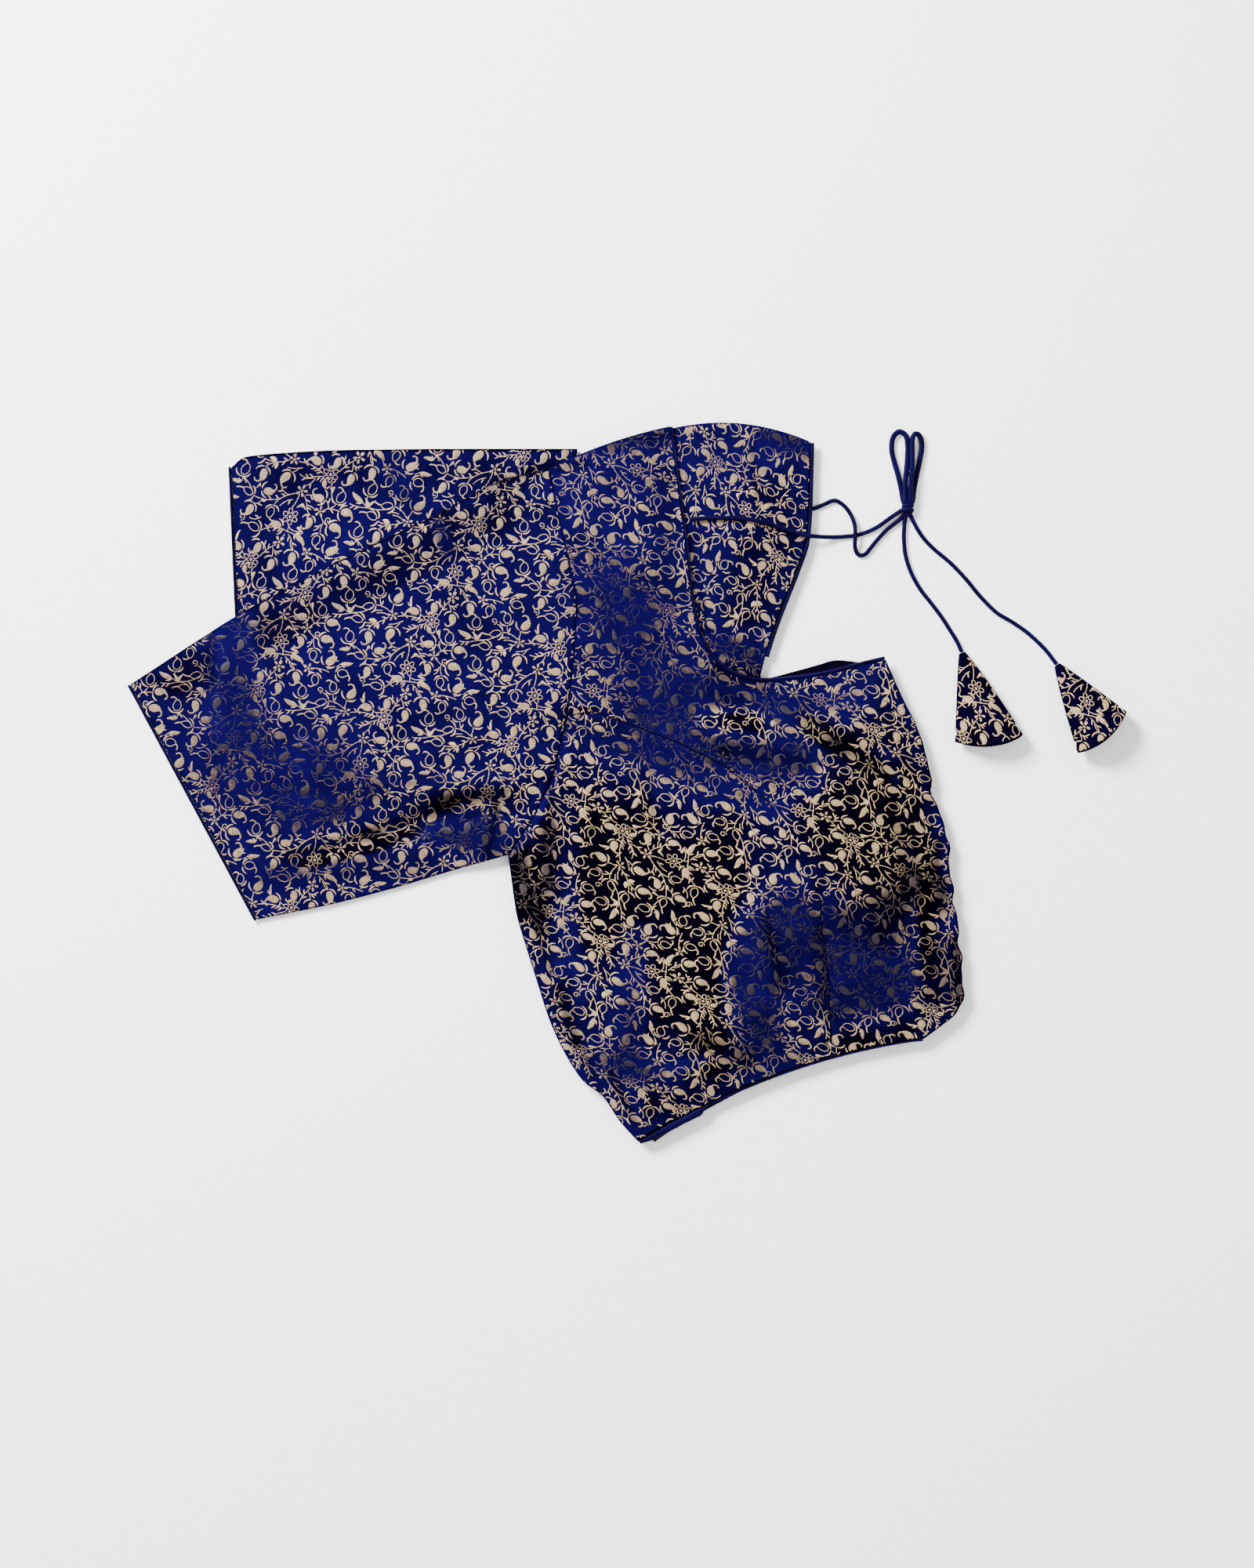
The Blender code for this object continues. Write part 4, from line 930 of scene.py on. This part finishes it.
def ribbon(line, half, across=3, closed=False):
    """Points, crown and quads of a woven line: half is its half width at each point."""
    line = np.asarray(line, float)
    if closed:
        run = np.roll(line, -1, axis=0) - np.roll(line, 1, axis=0)
    else:
        run = np.gradient(line, axis=0)
    normal = left_of(unit(run))
    half = np.broadcast_to(np.asarray(half, float), (len(line),))
    share = np.linspace(-1, 1, across)
    points = line[:, None] + normal[:, None] * share[None, :, None] * half[:, None, None]
    crown = np.broadcast_to(1 - share**2, (len(line), across))
    index = np.arange(len(line) * across).reshape(len(line), across)
    below = np.roll(index, -1, axis=0) if closed else index[1:]
    above = index if closed else index[:-1]
    quads = np.stack([above[:, :-1], above[:, 1:], below[:, 1:], below[:, :-1]], -1).reshape(-1, 4)
    return points.reshape(-1, 2), crown.reshape(-1), quads


def beads(count):
    """Half widths of a woven line, which steps from thread to thread."""
    return STROKE * (1 + 0.22 * np.cos(math.pi * np.arange(count)))


def spine(length, bend, count, start=0.0, power=2.3):
    """A line that leaves along +X and turns ever faster; bend is its whole turn in degrees."""
    t = np.linspace(0, 1, count)
    angle = math.radians(start) + math.radians(bend) * t**power
    step = length / (count - 1)
    x = np.concatenate([[0], np.cumsum(np.cos(angle[:-1]) * step)])
    y = np.concatenate([[0], np.cumsum(np.sin(angle[:-1]) * step)])
    return np.stack([x, y], 1)


def drop_width(count, most, power=0.62):
    """Half widths of a drop that is widest near its foot and ends in a fine tip."""
    t = np.linspace(0.02, 0.985, count)
    return most * np.sin(math.pi * t**power) ** 0.85 + 0.1


def boteh_width(count, most):
    """Half widths of a paisley: a full body, then a thin hooked tip."""
    t = np.linspace(0.03, 1, count)
    body = most * np.sin(math.pi * np.clip(t / 0.62, 0, 1) ** 0.85) ** 0.7
    return np.maximum(body, 0.62 - 0.3 * t)


# A woven line: half is its half width, across its points from edge to edge
Woven = namedtuple("Woven", "line half across closed barred", defaults=(3, False, False))


def calyx(size):
    """The two small leaves that hold a paisley."""
    leaves = []
    for way in (1, -1):
        line = spine(4.9 * size, -way * 78, 7, way * 84, 1.0)
        leaves.append(Woven(line + (-0.5, way * 0.6 * size), drop_width(7, 0.28 * size, 0.9)))
    return leaves


def motif_shapes(motif):
    """Lines of one motif in its own frame: it starts at the origin and grows along +X."""
    size, bend = motif.size, motif.bend
    shapes = []
    if motif.kind == "rosette":
        for petal in range(6):
            around = np.linspace(0, 2 * math.pi, 8, endpoint=False)
            ring = np.stack([2.9 + 1.4 * np.cos(around), 1.08 * np.sin(around)], 1)
            shapes.append(Woven(ring @ rotation(math.radians(60 * petal + 15)), STROKE, closed=True))
        shapes.append(Woven(np.array([(-0.7, 0), (0, 0), (0.7, 0)]), [0.3, 0.7, 0.3]))
    elif motif.kind == "flower":
        for petal in range(5):
            turn = math.radians(72 * petal)
            way = np.array((math.cos(turn), math.sin(turn)))
            reach = np.array([0.8, 1.6, 2.4, 3.0]) * size
            shapes.append(Woven(reach[:, None] * way, np.array([0.16, 0.5, 0.6, 0.2]) * size, barred=True))
        shapes.append(Woven(np.array([(-0.5, 0), (0, 0), (0.5, 0)]), [0.2, 0.5, 0.2]))
    elif motif.kind == "hatched":
        body = spine(10.8 * size, bend * 215, 16, -bend * 20)
        shapes.append(Woven(body + (0.6, 0), boteh_width(16, 2.0 * size), 5, barred=True))
        shapes += calyx(size)
    elif motif.kind in ("ring", "oval"):
        turn = 190 if motif.kind == "ring" else 60
        body = spine(10.4 * size, bend * turn, 15, -bend * 16)
        half = boteh_width(15, (2.2 if motif.kind == "ring" else 1.8) * size)
        half = np.where(half < 0.6, 0.12, half)
        normal = left_of(unit(np.gradient(body, axis=0)))
        loop = np.vstack([body + normal * half[:, None], (body - normal * half[:, None])[-2::-1]])
        loop = resample(np.vstack([loop, loop[:1]]) + (0.7, 0), 29)[:-1]
        shapes.append(Woven(loop, beads(28), closed=True))
        shapes += calyx(size)
    elif motif.kind == "leaf":
        body = spine(7.4 * size, bend * 34, 9)
        shapes.append(Woven(body, drop_width(9, 1.15 * size, 0.8), 5, barred=True))
        shapes.append(Woven(spine(3.4 * size, bend * 60, 5, -bend * 50), drop_width(5, 0.4 * size)))
    elif motif.kind == "blade":
        body = spine(6.6 * size, bend * 46, 8)
        shapes.append(Woven(body, drop_width(8, 0.55 * size, 0.8)))
        shapes.append(Woven(spine(3.6 * size, bend * 60, 5, -bend * 42), drop_width(5, 0.36 * size)))
    elif motif.kind == "bead":
        shapes.append(Woven(spine(3.6 * size, bend * 20, 6), drop_width(6, 0.85 * size, 0.9)))
    elif motif.kind == "curl":
        t = np.linspace(0, 1, 14)
        angle = math.radians(-90) + bend * t * math.radians(430)
        reach = 2.1 * size * (1 - 0.78 * t)
        line = np.stack([np.cos(angle), np.sin(angle)], 1) * reach[:, None] + (1.8, 1.6 * bend)
        shapes.append(Woven(line, beads(14)))
    return shapes


def leaflets(parts, stems):
    """Small leaves on both sides of the stems, wherever the cloth beside them is bare."""
    taken = np.vstack([part.line for part in parts])
    steps = [np.array(REPEAT_A) * a + np.array(REPEAT_B) * b for a in (-1, 0, 1) for b in (-1, 0, 1)]
    taken = np.vstack([taken + step for step in steps])
    made = []
    for line, run in stems:
        for place in range(1, len(line) - 1):
            for way in (1, -1):
                turn = math.atan2(run[1], run[0]) + way * math.radians(46)
                blade = spine(LEAFLET, -way * 30, 6) @ rotation(turn) + line[place]
                room = np.linalg.norm(taken[:, None] - blade[None, 3:], axis=2).min()
                if room < LEAFLET_ROOM:
                    continue
                made.append(Woven(blade, drop_width(6, LEAFLET_HALF, 0.8)))
                taken = np.vstack([taken] + [blade[2:] + step for step in steps])
    return made


def woven_chart():
    """Points, crown, fill and quads of one repeat; fill is 0, or 1 and the way along a filled motif."""
    parts = []
    for motif in MOTIFS:
        spin = rotation(math.radians(motif.heading))
        for shape in motif_shapes(motif):
            parts.append(shape._replace(line=np.asarray(shape.line) @ spin + (motif.x, motif.y)))
    stems = []
    for stem in STEMS:
        start, end = np.array((stem.x0, stem.y0)), np.array((stem.x1, stem.y1))
        run = end - start
        count = max(3, int(np.linalg.norm(run) / STEM_STEP) + 1)
        t = np.linspace(0, 1, count)[:, None]
        side = np.array((-run[1], run[0])) * stem.bow
        line = start + run * t + side * 4 * t * (1 - t)
        parts.append(Woven(line, beads(count)))
        stems.append((line, run))
    parts += leaflets(parts, stems)
    points, crowns, fills, quads = [], [], [], []
    start = 0
    for part in parts:
        place, crown, faces = ribbon(part.line, part.half, part.across, part.closed)
        points.append(place)
        crowns.append(crown)
        along = np.repeat(1 + way_along(part.line), part.across)
        fills.append(along if part.barred else np.zeros(len(place)))
        quads.append(faces + start)
        start += len(place)
    return np.vstack(points), np.concatenate(crowns), np.concatenate(fills), np.vstack(quads)


CHART = woven_chart()


def surface_tree(panel):
    """A panel's faces, ready for rays."""
    corners = [vertex.co for vertex in panel.data.vertices]
    return BVHTree.FromPolygons(corners, [tuple(face.vertices) for face in panel.data.polygons])


def belong(made):
    """States that a piece goes with the whole garment."""
    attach(made, "root")
    return made


def lay_gold(name, panel, outline, cut, finish, below=False, hidden=None, turned=0.0):
    """The gold vine on one side of a panel: the chart repeated over its plan and laid on its surface; turned
    is added to its painted sheen.
    """
    lay = chart_to_panel(cut)
    step_a, step_b = np.array(REPEAT_A) @ lay, np.array(REPEAT_B) @ lay
    points, crown, fill, quads = CHART
    placed = points @ lay + (cut.x, cut.y)
    centre, reach = placed.mean(0), np.abs(placed - placed.mean(0)).max() + 2
    low, high = outline.min(0) - reach, outline.max(0) + reach
    all_points, all_crown, all_fill, all_quads, all_cloth = [], [], [], [], []
    start = 0
    rim = np.vstack([outline, outline[:1]])
    for a in range(-MOST_STEPS_A, MOST_STEPS_A + 1):
        for b in range(-MOST_STEPS_B, MOST_STEPS_B + 1):
            shift = step_a * a + step_b * b
            if np.any(centre + shift < low) or np.any(centre + shift > high):
                continue
            moved = placed + shift
            keep = inside(moved, outline)
            if not keep.any():
                continue
            keep &= distance_to(moved, rim) > EDGE_BARE
            if hidden is not None:
                keep &= ~inside(moved, hidden)
            faces = quads[keep[quads].all(1)]
            if not len(faces):
                continue
            used = np.unique(faces)
            order = np.full(len(moved), -1)
            order[used] = np.arange(len(used)) + start
            all_points.append(moved[used])
            all_crown.append(crown[used])
            all_fill.append(fill[used])
            all_cloth.append(points[used] + np.array(REPEAT_A) * a + np.array(REPEAT_B) * b)
            all_quads.append(order[faces])
            start += len(used)
    plan = np.vstack(all_points)
    lift = (GOLD_LIFT + GOLD_CROWN * np.concatenate(all_crown)) * MM
    tree = surface_tree(panel)
    ray = Vector((0, 0, 1 if below else -1))
    laid, faced = np.zeros((len(plan), 3)), np.zeros((len(plan), 3))
    for k, (x, y) in enumerate(plan * MM):
        place, normal, _, _ = tree.ray_cast(Vector((x, y, -ray.z)), ray)
        if place is None:
            laid[k] = (x, y, -1.0)
            continue
        away = normal if normal.z * ray.z < 0 else -normal
        laid[k] = place + away * lift[k]
        faced[k] = away
    missed = laid[:, 2] < -0.5
    quads = np.vstack(all_quads)
    quads = quads[~missed[quads].any(1)]
    if below:
        quads = quads[:, ::-1]
        laid[:, 2] = np.maximum(laid[:, 2], 0.00002)
    laid[missed] = laid[~missed][0]
    points = laid / MM
    # painted sheen of the gold: from the table, from its slope to the lit side, and from turned
    nap = relief(points, PAINTED_SHEEN_ROWS) + painted_slope_sheen(faced) + turned
    made = add_mesh(name, points, quads, finish, nap, np.concatenate(all_fill), np.vstack(all_cloth))
    return belong(made)


def pile_height(points, free_edge):
    rise = smooth(distance_to(points, free_edge) / EDGE_ROLL)
    flat = EDGE_PILE + (CORE_PILE - EDGE_PILE) * rise
    folds = relief(points, BODY_FOLDS) + relief(points, BODY_CREASES)
    return np.maximum(flat + folds * smooth(rise * 1.6), EDGE_PILE)


def neck_side(points, neckline):
    """Whether a point is on the open side of the right front's neckline."""
    above = np.array([(neckline[-1, 0], 260), (neckline[0, 0], 260)])
    return inside(points, np.vstack([neckline[:, :2], above]))


def step_down(points, neckline):
    gap = distance_to(points, neckline)
    side = np.where(neck_side(points, neckline), 1, -1)
    return smooth((gap * side + UNDERLAP + 9) / 8)


def sleeve_heights(grid, floor, puff, folds, outline):
    rise = smooth(distance_to(grid, outline) / SLEEVE_ROLL)
    full = SLEEVE_EDGE + puff * rise + relief(grid, folds) * rise
    return floor + np.maximum(full, SLEEVE_EDGE)


def seam_dip(points, line, depth, width=2.2, pucker=0.35):
    """A sewn seam: the cloth dips to it, in small uneven puckers along the line."""
    away = distance_to(points, line)
    along = points[..., 1] * 0.9 + points[..., 0] * 0.45
    gathers = 1 + pucker * np.sin(along * 1.1) * np.sin(along * 0.43 + 1)
    return -depth * np.exp(-((away / width) ** 2)) * gathers


def armhole_depth(points):
    """How deep the armhole seam dips: slightly at the shoulder, more by the underarm."""
    return 0.3 + 0.8 * smooth((45 - points[..., 1]) / 45)


def ruffle(heights):
    """How far the gathered front edge steps in and out, from its upper corner down to the hem."""
    wave = 0.7 * np.sin(heights * 0.31) + 0.4 * np.sin(heights * 0.53 + 1)
    return wave * smooth((30 - heights) / 30) * smooth((heights + 130) / 20)


def lay_dark_strip(name, panel, line, half, lift, finish):
    """A flat dark strip on a panel's upper side, half being its half width at each point: a dart's sewn line,
    dark as painted shade of its tuck.
    """
    points, crown, quads = ribbon(line, half)
    tree = surface_tree(panel)
    laid = []
    for (x, y), rise in zip(points, lift + 0.12 * crown):
        place = tree.ray_cast(Vector((x * MM, y * MM, 1)), Vector((0, 0, -1)))[0]
        laid.append((x, y, place.z / MM + rise))
    return belong(add_mesh(name, laid, quads, finish))


def add_knot(name, finish):
    """The bow's knot: two turns of cord pulled tight over the crossing cords."""
    centre = np.array((*KNOT_CENTRE, 2.9))
    around = np.linspace(0, 2 * math.pi, 26, endpoint=False)
    turn = np.linspace(0, 2 * math.pi, 10, endpoint=False)
    points, faces = [], []
    start = 0
    for wrap, offset in enumerate((-1.35, 1.05)):
        ring = np.stack([
            centre[0] + (KNOT_HALF[0] - 0.8) * np.cos(around),
            centre[1] + offset + 0.5 * np.sin(around + wrap),
            centre[2] + (KNOT_HALF[2] - 1.35) * np.sin(around),
        ], 1)
        run = unit(np.roll(ring, -1, axis=0) - np.roll(ring, 1, axis=0))
        out = unit(ring - (centre[0], ring[:, 1].mean(), centre[2]))
        side = np.cross(run, out)
        skin = ring[:, None] + KNOT_CORD * (
            out[:, None] * np.cos(turn)[None, :, None] * 0.8 + side[:, None] * np.sin(turn)[None, :, None]
        )
        index = np.arange(len(ring) * len(turn)).reshape(len(ring), len(turn)) + start
        beside = np.roll(index, -1, axis=0)
        quads = np.stack([index, np.roll(index, -1, 1), np.roll(beside, -1, 1), beside], -1)
        faces += quads.reshape(-1, 4).tolist()
        points.append(skin.reshape(-1, 3))
        start += index.size
    core, core_faces = tube(resample(KNOT_CORE, 9), 1.7)
    faces += [[i + start for i in face] for face in core_faces]
    points.append(core)
    points = np.vstack(points)
    points[:, 2] = np.maximum(points[:, 2], 0.03)
    made = add_mesh(name, points, faces, finish)
    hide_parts(name)
    return made


def tassel_surface(size, stations, sides):
    """Rings of a padded cone that lies on its side, flat underneath, with a turned rim at its base."""
    turn = math.radians(size.turn)
    along = np.array((math.cos(turn), math.sin(turn)))
    across = np.array((-along[1], along[0]))
    rings = []
    for t, tuck in stations:
        width = TASSEL_NECK + (size.rim_width - TASSEL_NECK) * min(t, 1)**0.9 - 2 * tuck
        height = TASSEL_NECK + (size.rim_height - TASSEL_NECK) * min(t, 1)**0.8 - tuck
        around = np.linspace(0, 2 * math.pi, sides, endpoint=False)
        lift = np.maximum(0.0, 1.12 * (0.5 + 0.5 * np.sin(around)) - 0.12)
        swell = 0.08 * np.sin(around) ** 2
        reach = size.length * t * (1 + t * (size.skew * np.cos(around) + swell))
        plan = np.array((size.apex_x, size.apex_y)) + reach[:, None] * along
        plan = plan + across * (width / 2 * np.cos(around))[:, None]
        ripple = 0.25 * t * np.sin(around * 5 + t * 4) * (lift > 0)
        rings.append(np.column_stack([plan, np.maximum(height * lift + ripple, 0.02)]))
    return rings


def add_tassel(name, size, finish, cut):
    """A padded cone of brocade with a plump turned rim."""
    stations = [(t, 0.0) for t in np.linspace(0, 0.86, 26)] + list(RIM)
    sides = 48
    rings = tassel_surface(size, stations, sides)
    points = np.vstack(rings)
    # one painted sheen all over the tassel's blue
    nap = np.full(len(points), TASSEL_PAINTED_SHEEN)
    made = add_mesh(
        name, points, capped_skin(len(rings), sides), finish, nap, cloth=turned_back(points, cut)
    )
    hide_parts(name)
    return made


def tassel_outline(size):
    """The plan of a tassel's cone and rim."""
    sides = 24
    rings = tassel_surface(size, [(t, 0.0) for t in np.linspace(0.05, 1.0, 12)], sides)
    one, other = [ring[0, :2] for ring in rings], [ring[sides // 2, :2] for ring in rings]
    return np.array(one + list(rings[-1][1:sides // 2, :2]) + other[::-1])


def add_cord(name, route, finish, diameter=CORD_DIAMETER):
    """A stuffed satin cord along its route; an end by the knot is pulled into it."""
    route = [np.array(point, float) for point in route]
    knot_place = np.array((*KNOT_CENTRE, 2.6))
    for end, place in ((route[0], 0), (route[-1], len(route) + 1)):
        if np.linalg.norm(end[:2] - knot_place[:2]) < KNOT_REACH:
            route.insert(place, end + (knot_place - end) * 0.45)
    line = smooth_route(route, CORD_STEP)
    points, faces = tube(line, diameter / 2, wobble=0.02)
    points[:, 2] = np.maximum(points[:, 2], 0.02)
    made = add_mesh(name, points, faces, finish)
    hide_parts(name)
    return made


def add_camera():
    camera = bpy.data.objects.new("camera", bpy.data.cameras.new("camera"))
    camera.data.lens = LENS
    camera.data.sensor_fit = "VERTICAL"
    camera.data.sensor_height = SENSOR
    distance = VIEW_HEIGHT * LENS / SENSOR
    camera.location = (VIEW_CENTRE[0] * MM, VIEW_CENTRE[1] * MM, distance * MM)
    camera.data.clip_end = 10.0
    bpy.context.scene.collection.objects.link(camera)
    bpy.context.scene.camera = camera


def add_light(name, place, target, size, watts):
    light = bpy.data.objects.new(name, bpy.data.lights.new(name, "AREA"))
    light.data.shape = "RECTANGLE"
    light.data.size, light.data.size_y = size
    light.data.energy = watts
    light.location = place
    light.rotation_euler = (Vector(target) - Vector(place)).to_track_quat("-Z", "Y").to_euler()
    bpy.context.scene.collection.objects.link(light)


def add_studio():
    mesh = bpy.data.meshes.new("floor")
    corners = [(x * FLOOR_HALF, y * FLOOR_HALF, 0) for x, y in ((-1, -1), (1, -1), (1, 1), (-1, 1))]
    mesh.from_pydata(corners, [], [(0, 1, 2, 3)])
    mesh.materials.append(pale_floor())
    floor = bpy.data.objects.new("floor", mesh)
    bpy.context.scene.collection.objects.link(floor)
    world = bpy.data.worlds.new("studio")
    world.use_nodes = True
    world.node_tree.nodes["Background"].inputs["Color"].default_value = (1, 1, 1, 1)
    world.node_tree.nodes["Background"].inputs["Strength"].default_value = 1.25
    bpy.context.scene.world = world
    add_light("window", (-1.1, 1.15, 1.25), LIT_SPOT, (0.7, 0.7), 215)
    add_light("fill", (1.2, -0.6, 1.8), LIT_SPOT, (1.5, 1.5), 14)


add_camera()

SATIN_GROUND = satin_ground()
GOLD_FINISH = gold_thread()
PLAIN_SATIN = plain_satin()
LINING = dark_lining()

knot = add_knot("bow_knot", PLAIN_SATIN)
tassel_left = add_tassel("tassel_left", LEFT_TASSEL, SATIN_GROUND, LEFT_TASSEL_CUT)
tassel_right = add_tassel("tassel_right", RIGHT_TASSEL, SATIN_GROUND, RIGHT_TASSEL_CUT)
cords = [
    add_cord("cord_lead_right", NEAR_LEAD, PLAIN_SATIN),
    add_cord("cord_lead_left", FAR_LEAD, PLAIN_SATIN),
    add_cord("bow_loop_left", LEFT_LOOP, PLAIN_SATIN, diameter=LOOP_DIAMETER),
    add_cord("bow_loop_right", RIGHT_LOOP, PLAIN_SATIN, diameter=LOOP_DIAMETER),
    add_cord("cord_tail_left", LEFT_TAIL, PLAIN_SATIN),
    add_cord("cord_tail_right", RIGHT_TAIL, PLAIN_SATIN),
]

front_rows = smooth_rows(FRONT_ROWS, BODY_STEPS, (NECK_CORNER, UNDERARM))
armhole = front_rows[: UNDERARM * BODY_STEPS + 1, 0:2]
neckline = front_rows[: NECK_CORNER * BODY_STEPS + 1, 2:4]
front_grid = panel_grid(front_rows, BODY_COLUMNS)
front_grid[..., 0] += ruffle(front_grid[:, -1, 1])[:, None] * edged(BODY_COLUMNS) ** 14
back_grid = panel_grid(smooth_rows(BACK_ROWS, BACK_STEPS), BACK_COLUMNS)
inner_grid = panel_grid(smooth_rows(INNER_ROWS, INNER_STEPS), INNER_COLUMNS)
front_outline = boundary(front_grid)
back_edge = back_grid[:, -1]
free_edge = np.vstack([
    front_grid[0, ::6], back_grid[0, ::3], back_edge[6:-12:4], front_grid[6 * BODY_STEPS::4, -1],
    front_grid[-1, ::-6], front_grid[:UNDERARM * BODY_STEPS:-4, 0],
])


def front_top(points):
    return pile_height(points, free_edge) + LAYER_GAP + CLOTH


front_height = front_top(front_grid)
armhole_line = resample(armhole, 60)
dart_lines = [
    np.array([(15, 37.5), (28, 39.5), (49, 31.5), (75, 21.5), (97, 10.5), (113, -2), (124, -12)], float),
    np.array([(150, -62), (151.5, -82), (154.5, -101), (155.5, -119), (157, -142)], float),
]
front_height += seam_dip(front_grid, armhole_line, armhole_depth(front_grid))
for dart in dart_lines:
    front_height += seam_dip(front_grid, dart, *DART_DIP)

front = add_panel("right_front_cloth", front_grid, front_height, CLOTH, SATIN_GROUND, FRONT_CUT)
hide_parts("right_front")
back_height = pile_height(back_grid, free_edge)
back = add_panel("left_back_cloth", back_grid, back_height, CLOTH, SATIN_GROUND, BACK_CUT)
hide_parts("left_back")
inner_drop = INNER_LOWER + (LAYER_GAP + CLOTH) * step_down(inner_grid, neckline)
inner_height = pile_height(inner_grid, free_edge) - inner_drop
inner = add_pile("hidden_layers", inner_grid, inner_height, 3, LINING)
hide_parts("inner_layers")

left_grid = section_grid(LEFT_SLEEVE, FAR_STEPS, FAR_COLUMNS, LEFT_ARMHOLE)
left_outline = boundary(left_grid)
left_rim = np.vstack([left_outline[::4], left_outline[:1]])


def left_sleeve_top(points):
    folds = LEFT_SLEEVE_FOLDS + FAR_SLEEVE_CREASES
    return sleeve_heights(points, 0.0, LEFT_SLEEVE_PUFF, folds, left_rim)


left_high = left_sleeve_top(left_grid)
left_low = np.full_like(left_high, UNDER_LIFT)
left_sleeve = add_sleeve(
    "left_sleeve_cloth", left_grid, left_low, left_high, SLEEVE_CLOTH, SATIN_GROUND, FAR_SLEEVE_CUT
)
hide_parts("left_sleeve")

right_grid = section_grid(RIGHT_SLEEVE, SLEEVE_STEPS, SLEEVE_COLUMNS, armhole + np.array([(-SEAM_GAP, 0)]))
lies_on = inside(right_grid, left_outline)
away = np.where(lies_on, 0, distance_to(right_grid, left_rim))
tent = (SLEEVE_EDGE + SLEEVE_GAP) * (1 - smooth((away - TENT_START) / TENT_LENGTH))
right_low = np.where(lies_on, left_sleeve_top(right_grid) + SLEEVE_GAP, tent)
right_free = np.vstack([right_grid[-1:0:-4, 0], right_grid[0, ::3], right_grid[1::4, -1]])
right_folds = RIGHT_SLEEVE_FOLDS + SLEEVE_CREASES
right_high = sleeve_heights(right_grid, right_low, RIGHT_SLEEVE_PUFF, right_folds, right_free)
near_body = 1 - smooth(distance_to(right_grid, armhole_line) / BLEND_LENGTH)
body_level = np.maximum(front_top(right_grid), right_low + SLEEVE_EDGE)
right_high = right_high * (1 - near_body) + body_level * near_body
right_high += seam_dip(right_grid, armhole_line, armhole_depth(right_grid))
right_low = np.maximum(right_low, right_high - MOST_SLEEVE)
right_low = np.maximum(right_low, UNDER_LIFT)
near_outline = boundary(right_grid)
right_sleeve = add_sleeve(
    "right_sleeve_cloth", right_grid, right_low, right_high, SLEEVE_CLOTH, SATIN_GROUND, NEAR_SLEEVE_CUT
)
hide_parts("right_sleeve")


def edge_line(line, height):
    return np.column_stack([line, height])


piped_back = back_edge[:-BACK_PIPING_SHORT]
hem = front_grid[-1]
neck_line = edge_line(neckline, front_top(neckline) - CLOTH / 2)
back_line = edge_line(piped_back, pile_height(piped_back, free_edge) - CLOTH / 2)
hem_line = edge_line(hem, front_top(hem) - CLOTH / 2)
right_cuff_line = edge_line(right_grid[0], (right_low[0] + right_high[0]) / 2)
left_cuff_line = edge_line(left_grid[0], left_high[0] / 2)
pipings = [
    add_piping("neck_piping", neck_line, (1, 1), PLAIN_SATIN, girths=NECK_GIRTHS),
    add_piping("back_piping", back_line, (1, 0), PLAIN_SATIN),
    add_piping("hem_piping", hem_line, (0, -1), PLAIN_SATIN, *HEM_PIPING, HEM_GIRTHS),
    add_piping("right_cuff_piping", right_cuff_line, (-1, 0), PLAIN_SATIN, *CUFF_PIPING),
    add_piping("left_cuff_piping", left_cuff_line, (-1, 0), PLAIN_SATIN, *CUFF_PIPING),
]


def gold(name, panel, outline, cut, **options):
    return lay_gold("gold_" + name, panel, outline, cut, GOLD_FINISH, **options)


back_outline = boundary(back_grid)
front_gold = gold("on_right_front", front, front_outline, FRONT_CUT)
back_gold = gold("on_left_back", back, back_outline, BACK_CUT, hidden=front_outline)
near_golds = [
    gold("on_right_sleeve", right_sleeve, near_outline, NEAR_SLEEVE_CUT),
    gold("under_right_sleeve", right_sleeve, near_outline, UNDER_RIGHT_CUT, below=True, hidden=left_outline),
]
far_golds = [
    gold("on_left_sleeve", left_sleeve, left_outline, FAR_SLEEVE_CUT, hidden=near_outline),
    gold("under_left_sleeve", left_sleeve, left_outline, UNDER_LEFT_CUT, below=True),
]
gold("under_the_body", inner, boundary(inner_grid), UNDER_BODY_CUT, below=True)
for name, tassel, size, cut in (
    ("on_left_tassel", tassel_left, LEFT_TASSEL, LEFT_TASSEL_CUT),
    ("on_right_tassel", tassel_right, RIGHT_TASSEL, RIGHT_TASSEL_CUT),
):
    # the tassels' gold gets its own painted sheen
    gold(name, tassel, tassel_outline(size), cut, turned=TASSEL_GOLD_PAINTED_SHEEN)
# dark strips along the darts: the sewn lines, made dark as painted shade of their tucks
dart_shade_strips = [
    lay_dark_strip(
        "dart_shade_strip_%d" % (k + 1), front, resample(dart, int(line_length(dart) / SEAM_STEP)), DART_HALF,
        DART_LIFT, LINING,
    )
    for k, dart in enumerate(dart_lines)
]

for piece in (front, back, right_sleeve, left_sleeve, tassel_left, tassel_right):
    belong(piece)
for piece in (knot, *cords, *pipings):
    belong(piece)
belong(inner)

add_studio()
